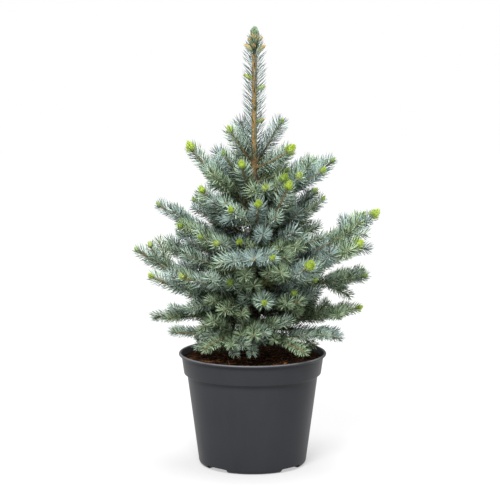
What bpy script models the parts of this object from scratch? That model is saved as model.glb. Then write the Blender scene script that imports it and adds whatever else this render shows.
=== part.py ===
"""A potted blue spruce: nursery pot, compost, trunk with its leader, boughs, and masses of needles.

The frame is in metres with +Z up. The origin is at the centre of the pot's flat underside, and
azimuth 0 points along +X, 90 along +Y. Each branch grows by one seeded rule: a main axis, side
shoots in pairs where a year's growth ended, and needles that stand out of three-sided cores.
"""

import math
import random

import bmesh
import bpy
import numpy as np

MM = 0.001

POT_HEIGHT = 176 * MM
RIM_OUTER = 115 * MM
RIM_INNER = 108.2 * MM

# Plant: heights are over the pot's underside.
SOIL_TOP = 168.5 * MM
LEADER_END = 650 * MM          # where the stem ends in its cluster of buds
PLANT_TOP = 680 * MM
LEAN = (1.2 * MM, 3.0 * MM)    # how far the stem stands off the pot's axis, at its foot and its top
TRUNK_RADII = (                # height over the soil, radius
    (0, 11.0), (4, 9.3), (12, 8.0), (60, 7.2), (176, 5.6), (296, 4.2), (306, 3.6), (482, 2.7))
LEADER_FOOT = 484 * MM         # where the leader's needles start
LEADER_REACH = 17 * MM         # how far they stand out from its bark
NEEDLE = 22 * MM

# Branches, from the top down. Each row has the height of its foot, its azimuth in degrees, how far
# it reaches out, how far its tip rises over its foot, how much it sags between them, and its years.
BRANCHES = {
    "top_left_front": (466, 200, 38, 54, 0, 1),
    "top_right": (469, 20, 44, 63, 2, 1),
    "top_right_front": (463, 335, 57, 27, 4, 1),
    "top_left_back": (468, 118, 44, 62, 2, 1),
    "inner_right": (440, 10, 47, 16, 2, 1),
    "inner_left": (424, 193, 46, 60, 6, 1),
    "upper_left": (394, 186, 95, 98, 8, 2),
    "upper_right": (407, 356, 119, 67, 12, 2),
    "upper_front_left": (410, 245, 42, 58, 4, 1),
    "upper_front_right": (402, 305, 76, 48, 6, 2),
    "upper_back_right": (400, 60, 98, 72, 8, 2),
    "upper_back_left": (404, 128, 92, 78, 8, 2),
    "middle_front_left": (344, 215, 94, 88, 8, 2),
    "middle_left": (333, 175, 146, 71, 10, 3),
    "middle_front": (352, 274, 95, 64, 6, 2),
    "middle_front_right": (342, 305, 89, 97, 8, 2),
    "middle_right": (350, 350, 106, 66, 10, 2),
    "middle_back_right": (345, 42, 128, 70, 10, 3),
    "middle_back_left": (340, 132, 128, 72, 10, 3),
    "middle_back": (352, 88, 114, 62, 8, 2),
    "low_left": (270, 180, 179, 65, 26, 3),
    "low_left_back": (281, 150, 157, 58, 10, 3),
    "low_left_front": (261, 214, 128, 43, 6, 3),
    "low_left_outer": (256, 196, 160, 44, 16, 3),
    "low_front_left": (330, 240, 110, 28, -4, 2),
    "low_front": (318, 270, 148, 24, -8, 3),
    "low_front_right": (268, 301, 156, 60, 8, 3),
    "low_right_front": (273, 332, 177, 81, 12, 3),
    "low_right": (279, 0, 183, 109, 2, 3),
    "low_right_back": (262, 18, 178, 32, 8, 3),
    "low_back_right": (275, 62, 172, 66, 10, 3),
    "low_back_left": (270, 112, 170, 66, 10, 3),
    "skirt_left": (222, 175, 156, 6, -12, 3),
    "skirt_left_front": (206, 197, 131, 8, 4, 2),
    "skirt_front_left": (214, 235, 128, -14, -8, 2),
    "skirt_front": (222, 270, 128, 2, -8, 2),
    "skirt_front_right": (206, 305, 134, -10, -8, 2),
    "skirt_right_front": (213, 335, 145, -4, -10, 3),
    "skirt_right": (222, 355, 161, 24, 4, 3),
    "core_front": (258, 277, 128, 16, -6, 2),
    "core_front_left": (252, 244, 102, 4, -8, 2),
    "core_front_right": (248, 305, 117, 21, -2, 2),
    "skirt_back_right": (215, 38, 142, 10, -4, 3),
    "skirt_back": (220, 88, 146, 14, -4, 3),
    "skirt_back_left": (214, 138, 142, 10, -4, 3),
}
YEAR_ENDS = {1: (), 2: (0.46,), 3: (0.36, 0.66)}   # where side shoots stand on a main axis
SIDE_STAGGER = 0.02            # the two sides stand a little apart along their parent
SIDE_ANGLE = (40, 52)          # degrees off the parent
SIDE_TILT = (-10, 16)
SIDE_LENGTH = (0.70, 0.92)     # as a share of what is left of the parent
SHORTEST_SHOOT = 24 * MM
SHOOT_ROOT = 12 * MM           # the part of a side shoot that may lie close to its parent
SHOOT_ROOM = 3 * MM            # kept between a shoot's axis and the edge of its branch's space
SHOOT_SPREAD = 7 * MM          # kept between the axes of one branch's shoots
AXIS_POINTS = 16


def unit(vector):
    """The vector at length one."""
    return vector / np.linalg.norm(vector)


def turned(vector, axis, angle):
    """The vector turned about a unit axis."""
    cos, sin = math.cos(angle), math.sin(angle)
    return vector * cos + np.cross(axis, vector) * sin + axis * np.dot(axis, vector) * (1 - cos)


def trunk_axis(height):
    """The middle of the stem at a height."""
    share = (height - SOIL_TOP) / (PLANT_TOP - SOIL_TOP)
    return np.array([LEAN[0] + (LEAN[1] - LEAN[0]) * share, 0.0, height])


def trunk_radius(height):
    """The stem's radius at a height."""
    heights, radii = zip(*TRUNK_RADII)
    return np.interp((height - SOIL_TOP) / MM, heights, radii) * MM


def along(axis, share):
    """A point of a shoot's axis, a quadratic curve through three guide points."""
    start, middle, end = axis
    return (1 - share) ** 2 * start + 2 * share * (1 - share) * middle + share ** 2 * end


def heading(axis, share):
    """The direction of a shoot's axis."""
    start, middle, end = axis
    return unit((1 - share) * (middle - start) + share * (end - middle))


def axis_points(axis, count=AXIS_POINTS):
    """Points evenly spread along a shoot's axis."""
    return np.array([along(axis, i / count) for i in range(count + 1)])


def axis_length(axis):
    """How long a shoot's axis is."""
    return np.linalg.norm(np.diff(axis_points(axis), axis=0), axis=1).sum()


def branch_axis(name):
    """The main axis of a branch, from the middle of the stem to its tip."""
    height, azimuth, reach, rise, sag, _ = BRANCHES[name]
    angle = math.radians(azimuth)
    outward = np.array([math.cos(angle), math.sin(angle), 0.0])
    upward = np.array([0.0, 0.0, 1.0])
    foot = trunk_axis(height * MM)
    tip = foot + (outward * reach + upward * rise) * MM
    middle = foot + (outward * reach * 0.52 + upward * (rise * 0.5 - sag)) * MM
    return foot, middle, tip


AXES = {name: branch_axis(name) for name in BRANCHES}
NAMES = list(BRANCHES)
MARKS = np.array([axis_points(AXES[name], 28) for name in NAMES])
FAVOUR = np.array([BRANCHES[name][5] * 3 * MM for name in NAMES])


def room(points, name):
    """How far points lie inside a branch's own space, negative outside it."""
    points = np.atleast_2d(points)
    gaps = np.linalg.norm(points[:, None, None] - MARKS[None], axis=3).min(axis=2) - FAVOUR
    own = NAMES.index(name)
    mine = gaps[:, own].copy()
    gaps[:, own] = np.inf
    between = (gaps.min(axis=1) - mine) / 2
    return np.minimum(np.minimum(between, off_stem(points)), over_pot(points))


def off_stem(points):
    """How far points lie from the stem and, over the top whorl, from the leader's needles."""
    middle = np.array([trunk_axis(z) for z in points[:, 2]])
    needles = np.clip((points[:, 2] - LEADER_FOOT) * 1.1, 0, LEADER_REACH)
    return (
        np.linalg.norm(points[:, :2] - middle[:, :2], axis=1)
        - trunk_radius(points[:, 2]) - needles)


def over_pot(points):
    """How far points lie over the compost and the pot's rim."""
    radius = np.linalg.norm(points[:, :2], axis=1)
    floor = np.where(radius < RIM_INNER - 3 * MM, SOIL_TOP + 1 * MM, POT_HEIGHT)
    return np.where(radius < RIM_OUTER + 3 * MM, points[:, 2] - floor, radius - RIM_OUTER)


def fits(axis, name, others):
    """Whether a side shoot keeps to its branch's space and off the branch's other shoots."""
    points = axis_points(axis)
    points = points[np.linalg.norm(points - points[0], axis=1) > SHOOT_ROOT]
    if room(points, name).min() < SHOOT_ROOM:
        return False
    return all(
        np.linalg.norm(points[:, None] - other[None], axis=2).min() > SHOOT_SPREAD
        for other in others)


def side_axis(rng, parent, share, side):
    """The axis of a side shoot, before it is cut to the room there is."""
    start = along(parent, share)
    tangent = heading(parent, share)
    across = unit(np.cross(tangent, (0.0, 0.0, 1.0)))
    over = np.cross(across, tangent)
    outward = turned(tangent, over, side * math.radians(rng.uniform(*SIDE_ANGLE)))
    outward = turned(outward, across, math.radians(rng.uniform(*SIDE_TILT)))
    length = (1 - share) * axis_length(parent) * rng.uniform(*SIDE_LENGTH)
    bend = tangent * 0.15 + np.array([0.0, 0.0, rng.uniform(0.02, 0.12)])
    return start, start + outward * length * 0.5, start + (outward + bend) * length


def grow(name, axis, years, order, key, shoots):
    """Adds a shoot and then its side shoots, older ones first."""
    shoots.append({"axis": axis, "years": years, "order": order, "key": key})
    for year, year_end in enumerate(YEAR_ENDS[years], 1):
        for side in (-1, 1):
            share = year_end + side * SIDE_STAGGER
            branch_key = f"{key}.{year}{'-+'[side > 0]}"
            rng = random.Random(branch_key)
            start, middle, end = side_axis(rng, axis, share, side)
            others = [axis_points(s["axis"]) for s in shoots]
            for cut in (1.0, 0.85, 0.7, 0.55, 0.4):
                trial = (start, start + (middle - start) * cut, start + (end - start) * cut)
                if axis_length(trial) < SHORTEST_SHOOT:
                    break
                if fits(trial, name, others):
                    grow(name, trial, years - year, order + 1, branch_key, shoots)
                    break


def branch_shoots(name):
    """Every shoot of a branch, the main axis first."""
    shoots = []
    grow(name, AXES[name], BRANCHES[name][5], 0, name, shoots)
    return shoots


# Needles of the solids are fewer and broader than life: each is a spike that stands on one face of
# a slim core.
CORE_SIDES = 3
RING_STEP = 15.5 * MM            # between the rings of a core
STEM_RADII = (2.3 * MM, 1.6 * MM)      # at the foot and the tip of a branch's main stem
SHOOT_RADII = (1.9 * MM, 1.5 * MM)
ROOT_RADIUS = 0.7 * MM         # of a side shoot, on its parent's axis
BUD_RADIUS = 2.8 * MM
BUD_LENGTH = 6 * MM
NEEDLE_LEAN = 46               # degrees forward of square to the shoot
NEEDLE_MARGIN = 0.7 * MM       # kept between a needle and the edge of its branch's space
NEEDLE_SPREAD = 2.2 * MM       # kept between needles of one branch
NEEDLE_CUTS = (1.0, 0.8, 0.6, 0.45)
NEEDLE_SAMPLES = (0.35, 0.6, 0.8, 1.0)
BARE_ROOT = 8 * MM             # of a side shoot, inside its parent's needles
FIT = 0.3 * MM                 # between solids that touch

# Branches whose bare inner part is a limb of its own, and the share of the axis that it takes.
LIMBS = (
    "middle_left", "middle_back_right", "middle_back_left", "low_left", "low_left_back",
    "low_right_front", "low_right", "low_right_back", "low_back_right", "low_back_left")
LIMB_SHARE = 0.24
LIMB_RADII = (3.1 * MM, 2.3 * MM)
LIMB_SIDES = 6
LIMB_RINGS = 4

# Leader
LEADER_SIDES = 6
LEADER_STEP = 12 * MM
SLEEVE = 1.2 * MM
LEADER_BUDS = ((533, 350), (563, 275), (590, 8), (611, 178))   # height, azimuth
TIP_BUDS = ((654, 190), (660, 262), (652, 350), (658, 80), (668, 140), (669, 20))
TIP_CORE = ((0, 3.2), (7, 3.8), (14, 4.6), (22, 4.8))          # height over the stem's end, radius
TIP_NEEDLE = 13 * MM
SIDE_BUD = (16 * MM, 2.9 * MM)          # length, radius
TIP_BUD = (11 * MM, 2.6 * MM)
BUD_RISE = 38                           # degrees over level

# Pot: radii and heights of its outer side, from the foot up.
POT_STEPS = 36
FOOT_RADIUS = 77 * MM
CORNER = (84.3 * MM, 8 * MM)
BODY_TOP = (101.5 * MM, 138 * MM)
BAND_FOOT = (108.0 * MM, 147 * MM)
BAND_TOP = (110.4 * MM, 168 * MM)
POT_WALL = 2.2 * MM
POT_FLOOR = 3 * MM
FOOT_RING = (62 * MM, 66 * MM, 8.5 * MM)    # the thick ring at the floor's edge: its radii, height
BEAD_MIDDLE = (111.6 * MM, 172.3 * MM)
BEAD_RADII = (3.4 * MM, 3.7 * MM)
NOTCH_TURNS = (47, 137, 227, 317)           # degrees round from the front, counter-clockwise
NOTCH_SIZE = (34 * MM, 16 * MM, 11 * MM)    # across, inward, and both sides of the ground
SOIL_EDGE = 1.6 * MM                        # how far the compost drops from its middle to its edge
SOIL_FLAT = 16 * MM


# --- Shared mesh helpers

def material(name, colour, roughness, metallic=0.0):
    """A plain Principled material, made once."""
    found = bpy.data.materials.get(name)
    if found:
        return found
    made = bpy.data.materials.new(name)
    made.use_nodes = True
    shader = made.node_tree.nodes["Principled BSDF"]
    shader.inputs["Base Color"].default_value = (*colour, 1)
    shader.inputs["Roughness"].default_value = roughness
    shader.inputs["Metallic"].default_value = metallic
    return made


def mesh_object(name, points, faces, finish, origin=(0, 0, 0)):
    """An object from points in world space and their faces, with its origin where it grows from."""
    mesh = bpy.data.meshes.new(name)
    mesh.from_pydata([tuple(p) for p in np.asarray(points) - origin], [], faces)
    mesh.materials.append(finish)
    made = bpy.data.objects.new(name, mesh)
    made.location = origin
    bpy.context.collection.objects.link(made)
    return made


def turned_object(name, outline, steps, finish):
    """A closed solid turned about Z from an outline that starts and ends on the axis."""
    bm = bmesh.new()
    rail = [bm.verts.new((r, 0, z)) for r, z in outline]
    edges = [bm.edges.new(pair) for pair in zip(rail, rail[1:])]
    bmesh.ops.spin(
        bm, geom=rail + edges, cent=(0, 0, 0), axis=(0, 0, 1), dvec=(0, 0, 0),
        angle=math.tau, steps=steps, use_duplicate=False)
    bmesh.ops.remove_doubles(bm, verts=bm.verts, dist=1e-6)
    bmesh.ops.recalc_face_normals(bm, faces=bm.faces)
    mesh = bpy.data.meshes.new(name)
    bm.to_mesh(mesh)
    bm.free()
    mesh.materials.append(finish)
    mesh.shade_smooth()
    mesh.set_sharp_from_angle(angle=math.radians(30))
    made = bpy.data.objects.new(name, mesh)
    bpy.context.collection.objects.link(made)
    return made


def tube(name, middles, radii, sides, finish, first_ring=None):
    """A capped tapering tube; first_ring takes the place of the ring at its foot."""
    rings = []
    for i, (middle, radius) in enumerate(zip(middles, radii)):
        ahead = middles[min(i + 1, len(middles) - 1)] - middles[max(i - 1, 0)]
        rings.append(ring(middle, unit(ahead), radius, sides, 0.0))
    if first_ring is not None:
        rings[0] = first_ring
    faces = [list(range(sides))[::-1], [len(rings) * sides - sides + k for k in range(sides)]]
    for i in range(len(rings) - 1):
        for k in range(sides):
            a, b = i * sides + k, i * sides + (k + 1) % sides
            faces.append((a, b, b + sides, a + sides))
    return mesh_object(name, np.vstack(rings), faces, finish, tuple(middles[0]))


def ring(middle, direction, radius, sides, twist):
    """Points round a direction; twist is in steps between points."""
    across = np.cross(direction, (0.0, 0.0, 1.0))
    across = unit(across) if np.linalg.norm(across) > 0.05 else np.array([1.0, 0.0, 0.0])
    over = np.cross(across, direction)
    angles = [(k + twist) * math.tau / sides for k in range(sides)]
    return np.array([
        middle + radius * (math.sin(a) * across + math.cos(a) * over) for a in angles])


def fused(name, pieces, finish):
    """One solid from overlapping pieces; the first carries the rest and keeps its place."""
    body, rest = pieces[0], pieces[1:]
    body.name = name
    if rest:
        group = bpy.data.collections.new(name)
        for piece in rest:
            group.objects.link(piece)
        union = body.modifiers.new("Union", "BOOLEAN")
        union.operation = "UNION"
        union.operand_type = "COLLECTION"
        union.collection = group
        union.solver = "EXACT"
        body.data = bpy.data.meshes.new_from_object(
            body.evaluated_get(bpy.context.evaluated_depsgraph_get()))
        body.modifiers.clear()
        for piece in rest:
            bpy.data.objects.remove(piece, do_unlink=True)
        bpy.data.collections.remove(group)
    body.data.name = name
    body.data.materials.clear()
    body.data.materials.append(finish)
    return body


# --- Needles

def needle_line(base, middle, direction, length):
    """The middle line of a needle that stands on a core's face, as points from root to tip."""
    root = base.mean(axis=0)
    outward = root - middle
    outward = unit(outward - direction * np.dot(outward, direction))
    lean = math.radians(NEEDLE_LEAN)
    aim = outward * math.cos(lean) + direction * math.sin(lean)
    return np.array([root + aim * length * share for share in NEEDLE_SAMPLES])


def clear_needle(base, middle, direction, length, name, lines, cores):
    """The longest needle that keeps to its space and off its neighbours, or None."""
    for cut in NEEDLE_CUTS:
        line = needle_line(base, middle, direction, length * cut)
        if name and room(line, name).min() < NEEDLE_MARGIN:
            continue
        if lines and nearest(np.vstack(lines), line) < NEEDLE_SPREAD:
            continue
        if len(cores) and nearest(cores, line) < NEEDLE_SPREAD * 2:
            continue
        return line
    return None


def nearest(points, others):
    """The least distance between two sets of points."""
    return np.linalg.norm(points[:, None] - others[None], axis=2).min()


def brush(rings, middles, tip, name, lines, cores, bare=0, length=NEEDLE):
    """A core through its rings to a pointed tip, with a needle on each of its faces.

    The first bare rings carry none. lines gathers the needles' middle lines.
    """
    sides = len(rings[0])
    points = [p for one in rings for p in one]
    faces = [list(range(sides))[::-1]]
    for i in range(len(rings) - 1):
        direction = unit(middles[i + 1] - middles[i])
        between = (middles[i] + middles[i + 1]) / 2
        for k in range(sides):
            after = (k + 1) % sides
            a, b = i * sides + k, i * sides + after
            for face in ((a, b, a + sides), (b, b + sides, a + sides)):
                base = np.array([points[corner] for corner in face])
                line = None
                if i >= bare:
                    line = clear_needle(base, between, direction, length, name, lines, cores)
                if line is None:
                    faces.append(face)
                    continue
                lines.append(line)
                spike = len(points)
                points.append(line[-1])
                faces += [(face[n], face[(n + 1) % 3], spike) for n in range(3)]
    points.append(tip)
    last = (len(rings) - 1) * sides
    faces += [(last + k, last + (k + 1) % sides, len(points) - 1) for k in range(sides)]
    return points, faces


def shoot_solid(shoot, start, radii, name, lines, cores, finish, first_ring=None):
    """One shoot as a core with needles, from a share of its axis to a bud at its tip."""
    axis = shoot["axis"]
    span = axis_length(axis) * (1 - start)
    bare = BARE_ROOT if shoot["order"] else 0.0
    count = max(1, round((span - bare - BUD_LENGTH) / RING_STEP))
    runs = list(np.linspace(bare, span - BUD_LENGTH, count + 1))
    if bare:
        runs.insert(0, 0.0)
    shares = [start + (1 - start) * run / span for run in runs]
    middles = [along(axis, share) for share in shares]
    widths = list(np.linspace(*radii, len(runs) - 1)) + [BUD_RADIUS]
    if bare:
        widths[0] = ROOT_RADIUS
    rings = [
        ring(middle, heading(axis, share), width, CORE_SIDES, i * 0.5)
        for i, (middle, share, width) in enumerate(zip(middles, shares, widths))]
    if first_ring is not None:
        rings[0] = first_ring
    points, faces = brush(rings, middles, along(axis, 1.0), name, lines, cores, 1 if bare else 0)
    return mesh_object(shoot["key"], points, faces, finish, tuple(middles[0]))


def foot_ring(name, radius, sides):
    """The ring where a branch meets the stem: flat, upright and just clear of the bark."""
    axis = AXES[name]
    angle = math.radians(BRANCHES[name][1])
    outward = np.array([math.cos(angle), math.sin(angle), 0.0])
    direction = heading(axis, 0.0)
    surface = trunk_radius(axis[0][2]) + FIT
    flat = []
    for point in ring(axis[0], direction, radius, sides, 0.0):
        ahead = surface - np.dot(point - axis[0], outward)
        flat.append(point + direction * ahead / np.dot(direction, outward))
    return np.array(flat)


def stem_start(name):
    """The share of a branch's axis at which it leaves the stem."""
    axis = AXES[name]
    surface = trunk_radius(axis[0][2]) + FIT
    shares = np.linspace(0, 0.4, 401)
    reaches = [np.linalg.norm((along(axis, share) - axis[0])[:2]) for share in shares]
    return float(np.interp(surface, reaches, shares))


# --- Branches

def limb(name, bark):
    """The bare inner part of a branch, one tapering limb that ends where its needles start."""
    axis = AXES[name]
    first = stem_start(name)
    last = LIMB_SHARE - FIT / axis_length(axis)
    shares = [first + (last - first) * i / (LIMB_RINGS - 1) for i in range(LIMB_RINGS)]
    radii = np.linspace(*LIMB_RADII, LIMB_RINGS)
    middles = [along(axis, share) for share in shares]
    foot = foot_ring(name, radii[0], LIMB_SIDES)
    return tube(f"{name}_bough", middles, radii, LIMB_SIDES, bark, foot)


def foliage(name, needles):
    """A branch's mass of needles: its stem and side shoots, fused."""
    shoots = branch_shoots(name)
    start = LIMB_SHARE if name in LIMBS else stem_start(name)
    lines = []
    pieces = []
    for i, shoot in enumerate(shoots):
        cores = [axis_points(s["axis"], 24)[2:] for j, s in enumerate(shoots) if j != i]
        cores = np.vstack(cores) if cores else np.zeros((0, 3))
        if shoot["order"]:
            pieces.append(shoot_solid(shoot, 0.0, SHOOT_RADII, name, lines, cores, needles))
            continue
        foot = None if name in LIMBS else foot_ring(name, STEM_RADII[0], CORE_SIDES)
        pieces.append(shoot_solid(shoot, start, STEM_RADII, name, lines, cores, needles, foot))
    return fused(f"{name}_needles", pieces, needles)


# --- Trunk and leader

def trunk(bark):
    """The stem from its flat cut on the compost to its end in the top buds."""
    foot = SOIL_TOP + FIT
    heights = [foot] + [SOIL_TOP + h * MM for h, _ in TRUNK_RADII[1:-1]] + [LEADER_END]
    middles = [trunk_axis(h) for h in heights]
    upward = np.array([0.0, 0.0, 1.0])
    rings = [ring(m, upward, trunk_radius(h), 10, 0.0) for m, h in zip(middles, heights)]
    faces = [list(range(10))[::-1], [len(rings) * 10 - 10 + k for k in range(10)]]
    for i in range(len(rings) - 1):
        for k in range(10):
            a, b = i * 10 + k, i * 10 + (k + 1) % 10
            faces.append((a, b, b + 10, a + 10))
    return mesh_object("trunk", np.vstack(rings), faces, bark, tuple(middles[0]))


def bud(height, azimuth, size, surface, finish):
    """A side bud of the leader, a spindle whose root is sunk in its core."""
    length, radius = size
    angle, rise = math.radians(azimuth), math.radians(BUD_RISE)
    aim = np.array([
        math.cos(angle) * math.cos(rise), math.sin(angle) * math.cos(rise), math.sin(rise)])
    foot = trunk_axis(height * MM)
    start = foot + aim * surface / math.cos(rise)
    middles = [start, start + aim * length * 0.55]
    rings = [ring(middles[0], aim, radius * 0.4, 5, 0.0), ring(middles[1], aim, radius, 5, 0.5)]
    points, faces = brush(rings, middles, start + aim * length, None, [], np.zeros((0, 3)), 2)
    axis = np.array([start + aim * length * share for share in np.linspace(0.2, 1, 6)])
    return mesh_object("bud", points, faces, finish, tuple(start)), axis


def leader_needles(finish):
    """The leader's needles: a thin sleeve round the stem, clear of it, that needles stand on."""
    first, last = LEADER_FOOT, LEADER_END - 6 * MM
    count = round((last - first) / LEADER_STEP)
    heights = [first + (last - first) * i / count for i in range(count + 1)]
    middles = [trunk_axis(h) for h in heights]
    upward = np.array([0.0, 0.0, 1.0])
    inner = [trunk_radius(h) / math.cos(math.pi / LEADER_SIDES) + FIT for h in heights]
    outer = [
        ring(m, upward, r + SLEEVE, LEADER_SIDES, i * 0.5)
        for i, (m, r) in enumerate(zip(middles, inner))]
    buds = [bud(h, a, SIDE_BUD, inner[0] + SLEEVE * 0.4, finish) for h, a in LEADER_BUDS]
    cores = np.vstack([axis for _, axis in buds])
    points, faces = brush(outer, middles, middles[-1], None, [], cores)
    points = points[:-1]
    faces = faces[1:-LEADER_SIDES]
    walls = []
    for i in (0, count):
        walls.append(len(points))
        points += list(ring(middles[i], upward, inner[i], LEADER_SIDES, i * 0.5))
    low, high = walls
    top = count * LEADER_SIDES
    for k in range(LEADER_SIDES):
        after = (k + 1) % LEADER_SIDES
        faces += [
            (k, low + k, low + after, after),
            (top + k, top + after, high + after, high + k),
            (low + k, high + k, low + after),
            (low + after, high + k, high + after)]
    sleeve = mesh_object("leader_needles", points, faces, finish, tuple(middles[0]))
    return fused("leader_needles", [sleeve] + [piece for piece, _ in buds], finish)


def leader_tip(finish):
    """The cluster of buds and short needles that closes the leader."""
    upward = np.array([0.0, 0.0, 1.0])
    heights = [LEADER_END + FIT + h * MM for h, _ in TIP_CORE]
    middles = [trunk_axis(h) for h in heights]
    rings = [
        ring(middle, upward, radius * MM, LEADER_SIDES, i * 0.5)
        for i, (middle, (_, radius)) in enumerate(zip(middles, TIP_CORE))]
    buds = [bud(h, a, TIP_BUD, TIP_CORE[0][1] * MM * 0.7, finish) for h, a in TIP_BUDS]
    cores = np.vstack([axis for _, axis in buds])
    points, faces = brush(
        rings, middles, trunk_axis(PLANT_TOP), None, [], cores, length=TIP_NEEDLE)
    core = mesh_object("leader_tip", points, faces, finish, tuple(middles[0]))
    return fused("leader_tip", [core] + [piece for piece, _ in buds], finish)


# --- Pot and compost

def arc(middle, radii, first, last, steps):
    """Points of an ellipse's arc in an outline, from one angle to another in degrees."""
    angles = np.radians(np.linspace(first, last, steps + 1))
    return [
        (middle[0] + radii[0] * math.cos(a), middle[1] + radii[1] * math.sin(a)) for a in angles]


def inner_wall(gap):
    """The outline up the pot's inner side, moved inward by a gap."""
    inset = POT_WALL + gap
    return [
        (CORNER[0] - inset, FOOT_RING[2] + gap),
        (BODY_TOP[0] - inset, BODY_TOP[1]),
        (BAND_FOOT[0] - inset, BAND_FOOT[1]),
    ]


def pot(finish):
    """The nursery pot: tapering wall, band, rolled bead, and four notches in its foot."""
    corner = (CORNER[0] - FOOT_RADIUS, CORNER[1])
    outline = [(0, 0)]
    outline += arc((FOOT_RADIUS, CORNER[1]), corner, -90, 0, 3)
    outline += [BODY_TOP, BAND_FOOT, BAND_TOP]
    outline += arc(BEAD_MIDDLE, BEAD_RADII, -50, 150, 5)
    outline += inner_wall(0)[::-1]
    outline += [(FOOT_RING[1], FOOT_RING[2]), (FOOT_RING[0], POT_FLOOR), (0, POT_FLOOR)]
    made = turned_object("pot", outline, POT_STEPS, finish)
    for i, turn in enumerate(NOTCH_TURNS):
        angle = math.radians(turn - 90)
        bpy.ops.mesh.primitive_cube_add(size=1, rotation=(0, 0, angle))
        cutter = bpy.context.object
        cutter.name = f"notch_cutter_{i}"
        across, inward, height = NOTCH_SIZE
        reach = CORNER[0]
        cutter.scale = (inward, across, height)
        cutter.location = (reach * math.cos(angle), reach * math.sin(angle), 0)
        bpy.ops.object.transform_apply(location=False, rotation=False, scale=True)
        bevel = cutter.modifiers.new("Slope", "BEVEL")
        bevel.width = 2.5 * MM
        bevel.segments = 1
        cut = made.modifiers.new(f"Notch {i}", "BOOLEAN")
        cut.operation = "DIFFERENCE"
        cut.solver = "EXACT"
        cut.object = cutter
        cutter.hide_render = True
        cutter.display_type = "WIRE"
    return made


def compost(finish):
    """The compost that fills the pot to just under its bead."""
    edge = SOIL_TOP - SOIL_EDGE
    slope = (BAND_TOP[0] - BAND_FOOT[0]) / (BAND_TOP[1] - BAND_FOOT[1])
    rim = BAND_FOOT[0] - POT_WALL - FIT + slope * (edge - BAND_FOOT[1])
    outline = [(0, FOOT_RING[2] + FIT)] + inner_wall(FIT) + [
        (rim, edge), (rim * 0.6, SOIL_TOP - SOIL_EDGE * 0.35), (SOIL_FLAT, SOIL_TOP), (0, SOIL_TOP)]
    return turned_object("compost", outline, POT_STEPS, finish)


def build():
    """The whole plant in its pot."""
    for old in list(bpy.data.objects):
        bpy.data.objects.remove(old, do_unlink=True)
    plastic = material("pot_plastic", (0.055, 0.058, 0.064), 0.45)
    soil = material("compost", (0.030, 0.017, 0.010), 0.95)
    bark = material("bark", (0.23, 0.13, 0.06), 0.85)
    needles = material("needles", (0.16, 0.25, 0.22), 0.6)
    shoots = material("leader_needles", (0.20, 0.28, 0.20), 0.6)
    pot(plastic)
    compost(soil)
    trunk(bark)
    leader_needles(shoots)
    leader_tip(shoots)
    for name in LIMBS:
        limb(name, bark)
    for name in BRANCHES:
        foliage(name, needles)


build()
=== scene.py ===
"""The potted blue spruce's finished look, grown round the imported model."""

import math
import random

import bpy
import numpy as np
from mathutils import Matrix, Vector


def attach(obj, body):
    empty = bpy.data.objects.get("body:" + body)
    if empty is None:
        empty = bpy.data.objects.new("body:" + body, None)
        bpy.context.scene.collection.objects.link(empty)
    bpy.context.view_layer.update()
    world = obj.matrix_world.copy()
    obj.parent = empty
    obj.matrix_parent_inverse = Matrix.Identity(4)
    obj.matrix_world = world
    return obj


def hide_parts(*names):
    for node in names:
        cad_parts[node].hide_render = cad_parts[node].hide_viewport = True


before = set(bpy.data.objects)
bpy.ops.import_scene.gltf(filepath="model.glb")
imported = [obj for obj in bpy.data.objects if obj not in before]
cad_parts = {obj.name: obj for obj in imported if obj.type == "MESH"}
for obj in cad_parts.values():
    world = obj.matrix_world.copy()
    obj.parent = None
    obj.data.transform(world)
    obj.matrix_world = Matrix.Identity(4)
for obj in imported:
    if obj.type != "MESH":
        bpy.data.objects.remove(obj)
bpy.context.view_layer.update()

MM = 0.001
BODY = "root"
GOLDEN = math.pi * (3 - math.sqrt(5))  # the turn from one needle to the next
norm = np.linalg.norm
UPWARD = np.array([0.0, 0.0, 1.0])

# --- Sizes, in the plant's own frame: the pot stands on z = 0 round the Z axis

# Pot: radii and heights of its outer side, from the foot up.
POT_SIDES = 128
FOOT_RADIUS = 77 * MM
CORNER = (84.3 * MM, 8 * MM)
BODY_TOP = (101.5 * MM, 138 * MM)
BAND_FOOT = (108.0 * MM, 147 * MM)
BAND_TOP = (110.4 * MM, 168 * MM)
POT_WALL = 2.2 * MM
POT_FLOOR = 3 * MM
FOOT_RING = (62 * MM, 66 * MM, 8.5 * MM)
STEP_INNER = 102.1 * MM  # the band's overhanging lower edge
STEP_OUTER = 107.0 * MM
STEP_HEIGHT = 143.6 * MM
LIP_MIDDLE = (112.9 * MM, 173.9 * MM)
LIP_RADII = (2.0 * MM, 2.1 * MM)
NOTCH_TURNS = (47, 137, 227, 317)
NOTCH_SIZE = (42 * MM, 35 * MM, 12 * MM)
NOTCH_ROUNDING = 2.5 * MM
POT_HEIGHT = 176 * MM
RIM_OUTER = 115 * MM
RIM_INNER = 108.2 * MM
SOIL_EDGE = 1.6 * MM

# Plant: heights are over the pot's underside.
SOIL_TOP = 168.5 * MM
LEADER_END = 650 * MM  # where the stem ends in its cluster of buds
PLANT_TOP = 680 * MM
LEAN = (1.2 * MM, 3.0 * MM)  # how far the stem stands off the pot's axis, at its foot and its top
TRUNK_RADII = (  # height over the soil, radius
    (0, 11.0), (4, 9.3), (12, 8.0), (60, 7.2), (176, 5.6), (296, 4.2), (306, 3.6), (482, 2.7))
LEADER_FOOT = 484 * MM  # where the leader's needles start
LEADER_REACH = 17 * MM  # how far they stand out from its bark
NEEDLE = 22 * MM

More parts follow.
